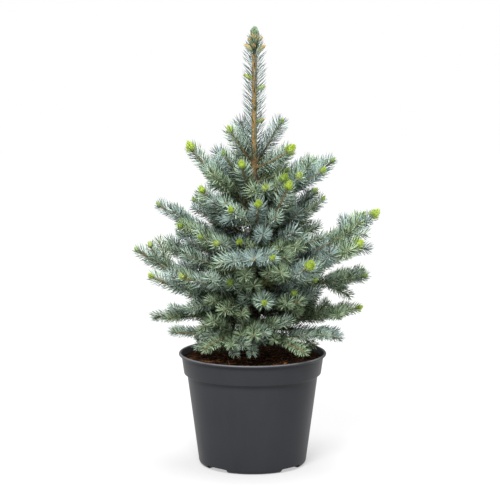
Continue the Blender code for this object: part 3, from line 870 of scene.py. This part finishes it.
INNER_RISE = (-0.10, 0.45)  # how far they rise, as a share of their reach
FRONT_CUT = ((310, 350), (0.13, 0.0))  # how much less of it to the front, by height
CROWN_REACH = ((200, 130), (270, 178), (340, 140), (400, 108), (450, 60), (500, 25))


def crown_reach(height):
    """How far the crown reaches out at a height, both in millimetres."""
    return np.interp(height, *zip(*CROWN_REACH))


def fine_axis(rng, parent, share):
    """The axis of a fine side shoot."""
    start = along(parent, share)
    tangent = heading(parent, share)
    across = unit(np.cross(tangent, UPWARD))
    over = np.cross(across, tangent)
    middle, spread = rng.choices(FINE_TURNS, FINE_CHANCES)[0]
    turn = math.radians(rng.gauss(middle, spread / 2))
    out = over * math.cos(turn) + across * math.sin(turn)
    angle = math.radians(rng.uniform(*FINE_ANGLE))
    outward = tangent * math.cos(angle) + out * math.sin(angle)
    left = (1 - share) * axis_length(parent)
    length = min(max(left * rng.uniform(*FINE_LENGTH), FINE_LIMITS[0]), FINE_LIMITS[1])
    bend = tangent * (0.12 + 0.35 * max(0.0, -tangent[1])) + UPWARD * rng.uniform(0.0, 0.10)
    return start, start + outward * length * 0.5, start + (outward + bend) * length


def fits_between(axis, marks):
    """Whether a fine shoot keeps off the trunk, the pot and every shoot so far."""
    points = axis_points(axis, 10)
    free = points[norm(points - points[0], axis=1) > FINE_ROOT]
    if off_stem(free).min() < 3 * MM or over_pot(free).min() < FINE_CLEAR:
        return False
    return norm(np.vstack(marks)[:, None] - free[None], axis=2).min() > FINE_SPREAD


def fine_shoots(name, shoots, marks):
    """Fine shoots along a branch's shoots, within its reach and wherever there is room between them."""
    rng = random.Random(f"{name} fine")
    reach = max(norm(shoot["axis"][2][:2]) for shoot in shoots)
    found = []
    for shoot in shoots:
        parent, order = shoot["axis"], shoot["order"]
        length, height = axis_length(parent), parent[0][2]
        run = FINE_FOOT if order else FINE_FOOT + trunk_radius(height)
        free = SIDE_TIP if order else np.interp(height, *FINE_TIPS)
        last = 0 if height > FINE_TOP else length - free
        while run < last:
            axis = fine_axis(rng, parent, run / length)
            key = f"{shoot['key']}~{len(found)}"
            run += rng.uniform(*FINE_STEP) * MM
            for cut in FINE_CUTS:
                trial = cut_to(axis, cut)
                if axis_length(trial) < FINE_ROOT + 2 * MM:
                    break
                if norm(trial[2][:2]) < reach and fits_between(trial, marks):
                    marks.append(axis_points(trial, 10)[2:])
                    found.append({"axis": trial, "order": order + 1, "key": key})
                    break
    return found


def inner_branches(marks):
    """Short branches along the trunk between the whorls, each with the name of its nearest branch."""
    rng = random.Random("inner branches")
    found = []
    height, azimuth = INNER_HEIGHTS[0], 0.0
    while height < INNER_HEIGHTS[1]:
        azimuth += math.degrees(GOLDEN) + rng.uniform(-14, 14)
        reach = crown_reach(height) * rng.uniform(*INNER_REACH)
        outward = level_aim(azimuth)
        reach *= 1 + np.interp(height, *FRONT_CUT) * min(0.0, outward[1])
        foot = trunk_axis(height * MM)
        rise = rng.uniform(*INNER_RISE)
        tip = foot + (outward + UPWARD * rise) * reach * MM
        axis = (foot, (foot + tip) / 2 - UPWARD * 4 * MM, tip)
        height += INNER_STEP
        for cut in FINE_CUTS:
            trial = cut_to(axis, cut)
            if fits_between(trial, marks):
                marks.append(axis_points(trial, 14)[2:])
                nearest = norm(MARKS - tip, axis=2).min(axis=1).argmin()
                shoot = {"axis": trial, "order": 0, "key": f"inner {len(found)}"}
                found.append((NAMES[nearest], shoot))
                break
    return found


def sides_of(ahead):
    """Unit vectors across and over a direction, or over each of many."""
    across = np.cross(ahead, UPWARD)
    across = np.where(
        norm(across, axis=-1, keepdims=True) > 0.05, units(across), (1.0, 0.0, 0.0))
    return across, np.cross(across, ahead)


def lay_out(axis, shares):
    """Places along a shoot with their directions ahead, across and over."""
    start, middle, end = axis
    shares = np.asarray(shares)[:, None]
    ahead = units((1 - shares) * (middle - start) + shares * (end - middle))
    return along(axis, shares), ahead, *sides_of(ahead)


def shoot_radii(shoot):
    """A shoot's radii at its foot and its tip."""
    if shoot["key"] in BRANCHES:
        return stem_radii(shoot["key"])
    return (1.1 * MM + axis_length(shoot["axis"]) * 0.010, 1.0 * MM)


TWIG_SIDES = 6
TWIG_STEP = 3.2 * MM


def tube(heap, places, across, over, radii, ends, sides, kind):
    """Adds a closed round tube to a heap: rings about places, and a point at either end."""
    points = np.empty((len(places), sides, 3))
    for k in range(sides):
        angle = math.tau * k / sides
        points[:, k] = places + (across * math.cos(angle) + over * math.sin(angle)) * radii[:, None]
    points = np.vstack([points.reshape(-1, 3), ends])
    faces = tube_faces(sides, len(places), len(points) - 1, len(points) - 2)
    heap.add(points[None], faces, kind)


def twig(heap, shoot, rng):
    """The bark of one side shoot, a tapering tube with a slight unevenness."""
    foot, tip = shoot_radii(shoot)
    shares = np.linspace(0, 1, max(4, round(axis_length(shoot["axis"]) / TWIG_STEP)))
    places, ahead, across, over = lay_out(shoot["axis"], shares)
    radii = (foot + (tip - foot) * shares) * np.array([rng.uniform(0.88, 1.16) for _ in shares])
    ends = (places[0] - ahead[0] * foot, places[-1] + ahead[-1] * tip)
    tube(heap, places, across, over, radii, ends, TWIG_SIDES, 0)


# --- Needles

CROWDING = (1.5, 2.75)  # needles to a millimetre: on old wood near the trunk, on young shoots
YOUNG_OFF = (25 * MM, 75 * MM)  # how far off the trunk the two are
LOW_FULLNESS = ((230 * MM, 320 * MM), (1.25, 1.0))  # the short needles near the pot are closer
TOP_FULLNESS = ((420 * MM, 450 * MM), (1.0, 1.25))  # and those at the top longer and closer
NEEDLE_LENGTH = (0.74, 0.88)
LOW_LENGTH = ((0.195, 0.280), (0.68, 1.0))  # shorter near the pot, by the height of the tip in m
FRONT_LENGTH = ((0.02, 0.10), (0.88, 1.10))  # and longer at the crown's front
NEEDLE_HALF = 0.68 * MM
LEANS = (62, 72)  # degrees off the shoot, over it and under it
LEAN_SPREAD = 5
TIP_LEAN = 40
TIP_RUN = 8 * MM
LOWER_LENGTH = 0.82
SHELL = 0.75  # of the crown's reach, inside which needles darken: partly older needles, partly painted shade
SHELL_DEPTH = 0.55
FROSTED_CHANCE = 0.42  # of a spray's hues, against the others' own
DEPTH = 0.47  # of the needles' three tones, before what darkens and varies it
DEPTH_SPREAD = 1.3


def needle_row(shoot, seed):
    """A shoot's needles: everything that blades() takes, and how far each is over the shoot."""
    rng = np.random.default_rng(seed)
    axis = shoot["axis"]
    length = axis_length(axis)
    first = 0.0
    if not shoot["order"]:
        first = (trunk_radius(axis[0][2]) + 3 * MM) / length
    trial = np.linspace(first, 1, 60)
    places = lay_out(axis, trial)[0]
    off = norm(places[:, :2], axis=1)
    crowding = np.interp(off, YOUNG_OFF, CROWDING) / MM
    crowding *= np.interp(places[:, 2].mean(), *LOW_FULLNESS)
    full = np.interp(places[:, 2].mean(), *TOP_FULLNESS)
    if full > 1:
        crowding[:] = CROWDING[1] / MM * full
    steps = (crowding[1:] + crowding[:-1]) / 2 * np.diff(trial) * length
    total = np.concatenate([[0], np.cumsum(steps)])
    count = max(4, int(total[-1]))
    shares = np.interp(np.arange(count) + rng.uniform(-0.4, 0.4, count), total, trial)
    shares = np.clip(shares, first, 1)
    places, ahead, across, over = lay_out(axis, shares)
    turn = np.arange(count) * GOLDEN + rng.uniform(0, math.tau)
    turn = np.mod(turn + math.pi, math.tau) - math.pi
    turn += rng.normal(0, 0.12, count)
    level = np.sqrt(np.maximum(0, 1 - ahead[:, 2] ** 2))
    turn = turn * (1 - 0.14 * level * np.abs(turn) / math.pi)
    upper = (np.cos(turn) * level + 1) / 2
    out = over * np.cos(turn)[:, None] + across * np.sin(turn)[:, None]
    lean = LEANS[1] + (LEANS[0] - LEANS[1]) * upper + rng.normal(0, LEAN_SPREAD, count)
    left = (1 - shares) * length
    lean = np.where(left < TIP_RUN, TIP_LEAN + (lean - TIP_LEAN) * left / TIP_RUN, lean)
    lean = np.radians(lean)[:, None]
    aims = units(out * np.sin(lean) + ahead * np.cos(lean))
    bends = ahead * 0.22 - out * 0.07 + UPWARD * rng.uniform(0.0, 0.12, count)[:, None]
    foot, tip = shoot_radii(shoot)
    radii = foot + (tip - foot) * shares
    roots = places + out * (radii * 0.75)[:, None]
    lengths = NEEDLE * rng.uniform(*NEEDLE_LENGTH, count)
    lengths = lengths * (LOWER_LENGTH + (1 - LOWER_LENGTH) * upper)
    lengths *= full * np.interp(places[-1, 2], *LOW_LENGTH)
    lengths *= np.interp(-places[:, 1], *FRONT_LENGTH)
    near_tip = np.clip(0.72 + left / (22 * MM), 0.72, 1)
    near_foot = np.clip(0.7 + shares * length / (30 * MM), 0.7, 1)
    lengths *= near_tip * near_foot
    widths = NEEDLE_HALF * rng.uniform(0.85, 1.15, count)
    return (roots, aims, bends, lengths, widths, out + ahead), upper, rng


def hue_of(shoot):
    """Which of the hues a shoot's needles are: olive deep in the crown, bluer at its left."""
    rng = random.Random(f"{shoot['key']} hue")
    side, away, height = along(shoot["axis"], 0.6)
    off = math.hypot(side, away) / crown_reach(height / MM) / MM
    olive = np.interp(off, (0.25, 0.50), (0.40, 0.03)) * (height < 0.42) * (shoot["order"] > 0)
    green = np.interp(height, (0.22, 0.45), (0.42, 0.22))
    green += np.interp(side, (0.0, 0.08), (0.0, 0.12))
    steel = np.interp(side, (-0.10, 0.0), (0.55, 0.28))
    steel *= np.interp(height, (0.22, 0.30), (0.4, 1.0))
    return rng.choices(range(4), (FROSTED_CHANCE, green, steel, olive))[0]


def needles(heap, shoot):
    """Adds a shoot's needles to a heap, in the hue and the depths of its spray."""
    seed = random.Random(f"{shoot['key']} needles").randrange(2**31)
    row, upper, rng = needle_row(shoot, seed)
    roots = row[0]
    off = norm(roots[:, :2], axis=1) / crown_reach(roots[:, 2] / MM) / MM
    inward_age_and_shade = np.clip((SHELL - off) / SHELL_DEPTH, 0, 1)
    # Painted shade: needles darken towards the crown's inside (partly older needles, partly painted
    # shade) and under the shoot more than over it (painted shade).
    depth = DEPTH + 0.95 * inward_age_and_shade + (0.5 - upper) * 0.3 + rng.normal(0, DEPTH_SPREAD, len(upper))
    hue = np.where(rng.random(len(upper)) < 0.45 * inward_age_and_shade ** 2, 3, hue_of(shoot))
    kind = np.clip(np.round(depth), 0, 2).astype(int) + 3 * hue
    heap.add(blades(*row), BLADE_FACES, kind)


# --- Buds and young growth

TUFT_LENGTH = 18 * MM
TUFT_NEEDLES = 80
BUD_SIZE = (6.0 * MM, 1.9 * MM)
LONG_BUD_SIZE = (16 * MM, 3.8 * MM)
BUD_SUNK = 1 * MM
SPINDLE = (  # share of a bud's length, share of its radius
    (0.08, 0.55), (0.30, 0.95), (0.55, 1.0), (0.80, 0.66), (0.94, 0.30))
OPEN_CHANCES = (0.55, 0.25, 0.10)  # that a bud has opened, by the shoot's order
TUFTS = {  # the shoots whose buds have opened for certain, by the size of their tufts
    0.65: ("top_right", "inner_left", "upper_right", "middle_left", "low_right_back.2-"),
    0.7: ("middle_left.1+", "low_front.2+"),
    0.75: ("middle_front.1-", "low_right_front.2+", "low_left_front", "low_left_outer"),
    0.8: ("upper_right.1-", "low_front_left", "skirt_right"),
    0.85: ("top_left_front", "upper_front_right.1-", "middle_front_left"),
    0.9: ("middle_front",),
    0.95: ("upper_front_left", "low_right_front", "low_right.2+"),
    1.05: ("upper_front_right", "middle_front_right"),
    1.15: ("upper_left",),
    1.2: ("top_right_front", "low_front_right", "low_right"),
}
OPENED = {key: size for size, keys in TUFTS.items() for key in keys}


def spindle(heap, place, ahead, length, radius, kind, sides=7):
    """Adds a closed egg shape to a heap."""
    across, over = sides_of(ahead)
    shares, widths = np.array(SPINDLE).T
    places = place + ahead * length * shares[:, None]
    ends = (place, place + ahead * length)
    tube(heap, places, across, over, radius * widths, ends, sides, kind)


def around(rng, place, ahead, count, rows, lean, length, width, sunk=0.0):
    """Blades that stand round a bud in rising rows: what blades() takes."""
    across, over = sides_of(ahead)
    index = np.arange(count)
    share = index / count
    turn = index * GOLDEN + rng.uniform(0, math.tau)
    out = across * np.cos(turn)[:, None] + over * np.sin(turn)[:, None]
    tilt = np.radians(lean[0] + (lean[1] - lean[0]) * share + rng.normal(0, 5, count))[:, None]
    aims = units(out * np.sin(tilt) + ahead * np.cos(tilt))
    radius = rows[1] * np.sqrt(np.clip(1 - share * 0.8, 0.05, 1))
    roots = place + ahead * (rows[0] * share)[:, None] + out * (radius - sunk)[:, None]
    bends = ahead * 0.1 - out * 0.22
    lengths = length * rng.uniform(0.82, 1.08, count)
    return roots, aims, bends, lengths, width * rng.uniform(0.85, 1.15, count), out


def scales(heap, rng, place, ahead, count, rows, lean, length, width, kinds, flat=0.8):
    """Adds blades that stand round a bud, each of a kind drawn from those given."""
    row = around(rng, place, ahead, count, rows, lean, length, width)
    heap.add(blades(*row, flat=flat), BLADE_FACES, rng.choice(kinds, count))


def tuft(heap, place, ahead, size, tone, seed):
    """A bud that has opened: a brush of short soft needles over its last papery scales."""
    rng = np.random.default_rng(seed)
    length = TUFT_LENGTH * size
    foot = place - ahead * BUD_SUNK
    spindle(heap, foot, ahead, length * 0.70, length * 0.27, tone)
    count = int(TUFT_NEEDLES * size)
    rows = (length * 0.46, length * 0.26)
    row = around(rng, place, ahead, count, rows, (74, 8), length * 0.40, 0.72 * MM, BUD_SUNK)
    tones = np.where(rng.random(count) < 0.3, (tone + 1) % 3, tone)
    heap.add(blades(*row), BLADE_FACES, tones)
    rows = (1.5 * MM, length * 0.2)
    scales(heap, rng, foot, ahead, 10, rows, (38, 24), 4 * MM, 0.9 * MM, (3,), 0.35)


def closed_bud(heap, place, ahead, size, seed):
    """A resting bud in its scales."""
    rng = np.random.default_rng(seed)
    length, radius = BUD_SIZE[0] * size, BUD_SIZE[1] * size
    foot = place - ahead * BUD_SUNK
    spindle(heap, foot, ahead, length, radius, 4)
    rows = (length * 0.6, radius * 0.95)
    scales(heap, rng, foot, ahead, 14, rows, (24, 8), length * 0.5, 0.85 * MM, (3, 4), 0.35)


def long_bud(heap, place, ahead, size, seed, green):
    """A swelling side bud of the leader, green or tan, under orange-brown scales."""
    rng = np.random.default_rng(seed)
    length, radius = LONG_BUD_SIZE[0] * size, LONG_BUD_SIZE[1] * size
    spindle(heap, place, ahead, length, radius, 2 if green else 4)
    foot = place + ahead * length * 0.3
    rows = (length * 0.5, radius * 0.9)
    kinds = (2, 2, 4, 5) if green else (4, 5, 5, 3)
    scales(heap, rng, foot, ahead, 26, rows, (16, 6), length * 0.3, 0.9 * MM, kinds, 0.4)


def shoot_end(heap, shoot):
    """The bud or the opened tuft at a shoot's tip."""
    rng = random.Random(f"{shoot['key']} bud")
    place, ahead = along(shoot["axis"], 1.0), heading(shoot["axis"], 1.0)
    seed = rng.randrange(2**31)
    chance = OPEN_CHANCES[min(shoot["order"], 2)]
    if "~" in shoot["key"] or place[1] < -0.02:
        chance *= 0.7
    if place[2] < 0.27:
        chance *= 0.35
    aim = unit(ahead + UPWARD * 0.35)
    if shoot["key"] in OPENED or rng.random() < chance:
        size = OPENED.get(shoot["key"], rng.uniform(0.6, 0.9))
        tone = rng.choices((0, 1, 2), (0.6, 0.2, 0.2))[0] if size > 0.65 else 2
        tuft(heap, place - aim * BUD_SUNK, aim, size, tone, seed)
    elif rng.random() < 0.3:
        closed_bud(heap, place, aim, rng.uniform(0.6, 0.8), seed)


# --- Foliage: one set of pieces for each part of the crown

PARTS = {  # a branch belongs to the first part that has the start of its name
    "top": ("top_", "inner_"),
    "upper": ("upper_",),
    "middle": ("middle_",),
    "low_front": ("low_left_front", "low_front", "low_right_front", "core_"),
    "low_back": ("low_back",),
    "low_side": ("low_left", "low_right"),
    "skirt": ("skirt_",),
}


def part_of(name):
    """The part of the crown that a branch belongs to."""
    return next(part for part, starts in PARTS.items() if name.startswith(starts))


def foliage(twig_bark, kinds, tips):
    """All the branches' needles, twigs and buds."""
    members = {}
    shoots = {name: branch_shoots(name) for name in NAMES}
    marks = [axis_points(shoot["axis"], 12)[2:] for name in NAMES for shoot in shoots[name]]
    for name in NAMES:
        members.setdefault(part_of(name), []).append(name)
    for name, shoot in inner_branches(marks):
        shoots[name].append(shoot)
    for name in NAMES:
        shoots[name] += fine_shoots(name, shoots[name], marks)
    for part, names in members.items():
        leaves, twigs, ends = Heap(), Heap(), Heap()
        for name in names:
            for shoot in shoots[name]:
                needles(leaves, shoot)
                if shoot["key"] not in BRANCHES:
                    twig(twigs, shoot, random.Random(f"{shoot['key']} bark"))
                shoot_end(ends, shoot)
        nodes = [f"{name}_needles" for name in names]
        leaves.piece(f"{part}_crown_needles", kinds, "needles", nodes)
        if twigs.count:
            twigs.piece(f"{part}_crown_twigs", [twig_bark], "bark", nodes, soft=True)
        ends.piece(f"{part}_crown_buds", tips, "young_growth", nodes)


# --- Leader

LEADER_CROWDING = 2.1
LEADER_NEEDLES = (470 * MM, 662 * MM)
LEADER_BUDS = (  # height in mm, azimuth, rise, size, whether it is green
    (533, 350, 0.45, 0.9, True), (556, 275, 0.45, 0.7, False), (583, 8, 0.45, 1.0, True),
    (600, 178, 0.45, 1.0, True), (642, 190, 0.8, 1.1, False), (646, 262, 0.8, 0.8, False),
    (640, 350, 0.8, 1.15, False), (650, 80, 0.8, 0.8, False), (652, 140, 0.8, 0.9, False),
    (655, 20, 0.8, 0.9, False))

# What stands round the leader's end: how far over it, how many, the height and radius that they
# fill, degrees off upright from foot to top, length, half width, and the kinds they are drawn from.
DOME = (17 * MM, 130, (6.5 * MM, 6.0 * MM), (10, 0), 6.5 * MM, 0.95 * MM, (1, 4, 4, 5))
DOME_SCALES = (9 * MM, 48, (8 * MM, 6.0 * MM), (48, 20), 8 * MM, 1.1 * MM, (4, 5))
DOME_FOOT = (-14 * MM, 60, (18 * MM, 4.2 * MM), (34, 22), 14 * MM, 0.8 * MM, (4, 5, 5, 8))


def leader(kinds, tips):
    """The leader's needles, its side buds and the closed tuft on its top."""
    rng = np.random.default_rng(20)
    leaves, ends = Heap(), Heap()
    low, high = LEADER_NEEDLES
    count = int((high - low) / MM * LEADER_CROWDING)
    heights = np.linspace(low, high, count) + rng.normal(0, 0.8 * MM, count)
    turn = np.arange(count) * GOLDEN + rng.normal(0, 0.15, count)
    out = np.column_stack([np.cos(turn), np.sin(turn), np.zeros(count)])
    middles = np.array([trunk_axis(height) for height in heights])
    roots = middles + out * trunk_radius(heights)[:, None] * 0.8
    lean = np.radians(rng.normal(56, 4, count))[:, None]
    aims = out * np.sin(lean) + UPWARD * np.cos(lean)
    bends = UPWARD * 0.12 - out * 0.08
    lengths = NEEDLE * rng.uniform(0.96, 1.14, count)
    lengths *= np.interp(heights, (630 * MM, 662 * MM), (1.0, 0.55))
    widths = np.full(count, 0.70 * MM)
    row = (roots, aims, bends, lengths, widths, out)
    leaves.add(blades(*row), BLADE_FACES, rng.choice((6, 7, 7, 8), count))
    top = trunk_axis(LEADER_END)
    scales(leaves, rng, top + UPWARD * DOME[0], UPWARD, *DOME[1:])
    spindle(leaves, top - UPWARD * BUD_SUNK, UPWARD, 29 * MM, 5.8 * MM, 4, 12)
    scales(ends, rng, top + UPWARD * DOME_SCALES[0], UPWARD, *DOME_SCALES[1:], 0.4)
    scales(leaves, rng, top + UPWARD * DOME_FOOT[0], UPWARD, *DOME_FOOT[1:])
    for seed, (height, azimuth, rise, size, green) in enumerate(LEADER_BUDS):
        side = level_aim(azimuth)
        place = trunk_axis(height * MM) + side * trunk_radius(height * MM) * 0.7
        long_bud(ends, place, unit(side + UPWARD * rise), size, seed, green)
    leaves.piece("leader_brush", kinds, "needles", ["leader_needles"])
    ends.piece("leader_buds", tips, "young_growth", ["leader_tip"])


# --- Loose bits on the compost

BITS = 1600
FIBRES = 330
BITS_FOOT = 10 * MM  # none nearer to the trunk


def bits(finishes):
    """Chips of bark and fibres that lie in the compost's top."""
    rng = np.random.default_rng(7)
    heap = Heap()
    inner = RIM_INNER - 3 * MM
    count = BITS + FIBRES
    off = inner * np.sqrt(rng.uniform(0.03, 1.0, count))
    turn = rng.uniform(0, math.tau, count)
    heights = SOIL_TOP - SOIL_EDGE * (off / inner) ** 2 + rng.uniform(-0.4, 0.9, count) * MM
    roots = np.column_stack([off * np.cos(turn), off * np.sin(turn), heights])
    heading_turn = rng.uniform(0, math.tau, count)
    rise = rng.normal(0, 0.16, count)
    aims = units(np.column_stack([np.cos(heading_turn), np.sin(heading_turn), rise]))
    thin = np.arange(count) >= BITS
    lengths = np.where(thin, rng.uniform(8, 22, count), rng.gamma(2.2, 1.7, count) + 2.0) * MM
    widths = np.where(thin, rng.uniform(0.3, 0.6, count), rng.uniform(0.6, 1.9, count)) * MM
    sag = units(np.column_stack([-np.sin(heading_turn), np.cos(heading_turn), np.zeros(count)]))
    bends = sag * rng.normal(0, 0.25, count)[:, None]
    tips = roots + (aims + bends) * lengths[:, None]
    reach = norm(tips[:, :2], axis=1)
    keep = (reach < inner) & (reach > BITS_FOOT)
    backs = units(rng.normal(0, 0.4, (count, 3)) + UPWARD)
    kind = np.where(thin, 2, rng.choice((0, 0, 0, 1, 1, 2, 2), count))
    points = blades(roots, aims, bends, lengths, widths, backs, flat=0.45)
    heap.add(points[keep], BLADE_FACES, kind[keep])
    heap.piece("compost_bits", finishes, "compost", ["compost"])


# --- Floor, light and camera

ROOM_LIGHT = 0.64  # what the white room gives, where the camera sees it as 1
FLOOR_RADIUS = 6.0
FLOOR_GLOW = ((0.10, 0.50), (0.17, 0.53), (0.33, 0.68), (0.5, 0.78), (1.0, 0.89))
CAMERA_PLACE = (-0.0040, -2.762, 0.711)
CAMERA_DROP = 7.73
CAMERA_LENS = 129.6
LIT_POINT = (0, 0, 0.35)
LIGHTS = (  # place, size, power
    ("key light", (-0.4, -1.9, 2.3), 1.0, 122), ("top light", (0.2, 0.2, 2.4), 1.4, 84))


def area_light(name, place, size, power):
    """A soft square light that faces the plant."""
    data = bpy.data.lights.new(name, "AREA")
    data.size = size
    data.energy = power
    made = linked(name, data)
    made.location = place
    made.rotation_euler = (Vector(LIT_POINT) - Vector(place)).to_track_quat("-Z", "Y").to_euler()


def floor_finish():
    """A pale floor whose glow rises outwards, so that it stays as pale where the lights don't reach."""
    finish = Finish("pale_floor", Roughness=0.9, Specular_IOR_Level=0.1, Emission_Strength=1.0)
    across, away, _ = finish.coordinates()
    off = (across * across + away * away) ** 0.5 / FLOOR_RADIUS
    glow = finish.ramp(off, *((share, (bright,) * 3) for share, bright in FLOOR_GLOW))
    finish.set(Base_Color=(0.25, 0.25, 0.25), Emission_Color=glow)
    return finish.material


def studio():
    """A plain pale floor, a white room, soft lights and the camera."""
    let_go()
    bpy.ops.mesh.primitive_circle_add(
        vertices=96, radius=FLOOR_RADIUS, fill_type="NGON", location=(0, 0, 0))
    floor = bpy.context.object
    floor.name = "floor"
    floor.data.materials.append(floor_finish())
    world = bpy.data.worlds.new("white room")
    world.use_nodes = True
    nodes, links = world.node_tree.nodes, world.node_tree.links
    seen = nodes.new("ShaderNodeLightPath").outputs["Is Camera Ray"]
    strength = nodes.new("ShaderNodeMapRange")
    strength.inputs["To Min"].default_value = ROOM_LIGHT
    strength.inputs["To Max"].default_value = 1.0
    links.new(seen, strength.inputs["Value"])
    links.new(strength.outputs["Result"], nodes["Background"].inputs["Strength"])
    nodes["Background"].inputs["Color"].default_value = (1, 1, 1, 1)
    bpy.context.scene.world = world
    for light in LIGHTS:
        area_light(*light)
    lens = bpy.data.cameras.new("camera")
    lens.lens = CAMERA_LENS
    lens.sensor_width = 36
    lens.clip_start = 0.05
    camera = linked("camera", lens)
    camera.location = CAMERA_PLACE
    camera.rotation_euler = (math.radians(90 - CAMERA_DROP), 0, 0)
    bpy.context.scene.camera = camera
    bpy.context.scene.view_settings.view_transform = "Standard"


def main():
    """Makes every piece, then the room round them."""
    bark = bark_finish()
    pot(pot_plastic())
    compost(compost_finish())
    bits([
        mottled(name, *tones, noise=(260, 4, 0.6), edge=0.35, roughness=0.9, specular=0.1)
        for name, tones in BIT_KINDS.items()])
    trunk(bark)
    boughs(bark)
    kinds = [plain(name, colour, 0.55, 0.16) for name, colour in NEEDLE_KINDS.items()]
    tips = [plain(name, colour, roughness) for name, (colour, roughness) in TIP_KINDS.items()]
    foliage(mottled("twig_bark", (0.130, 0.112, 0.056), (0.270, 0.232, 0.125)), kinds, tips)
    leader(kinds, tips)
    studio()


main()
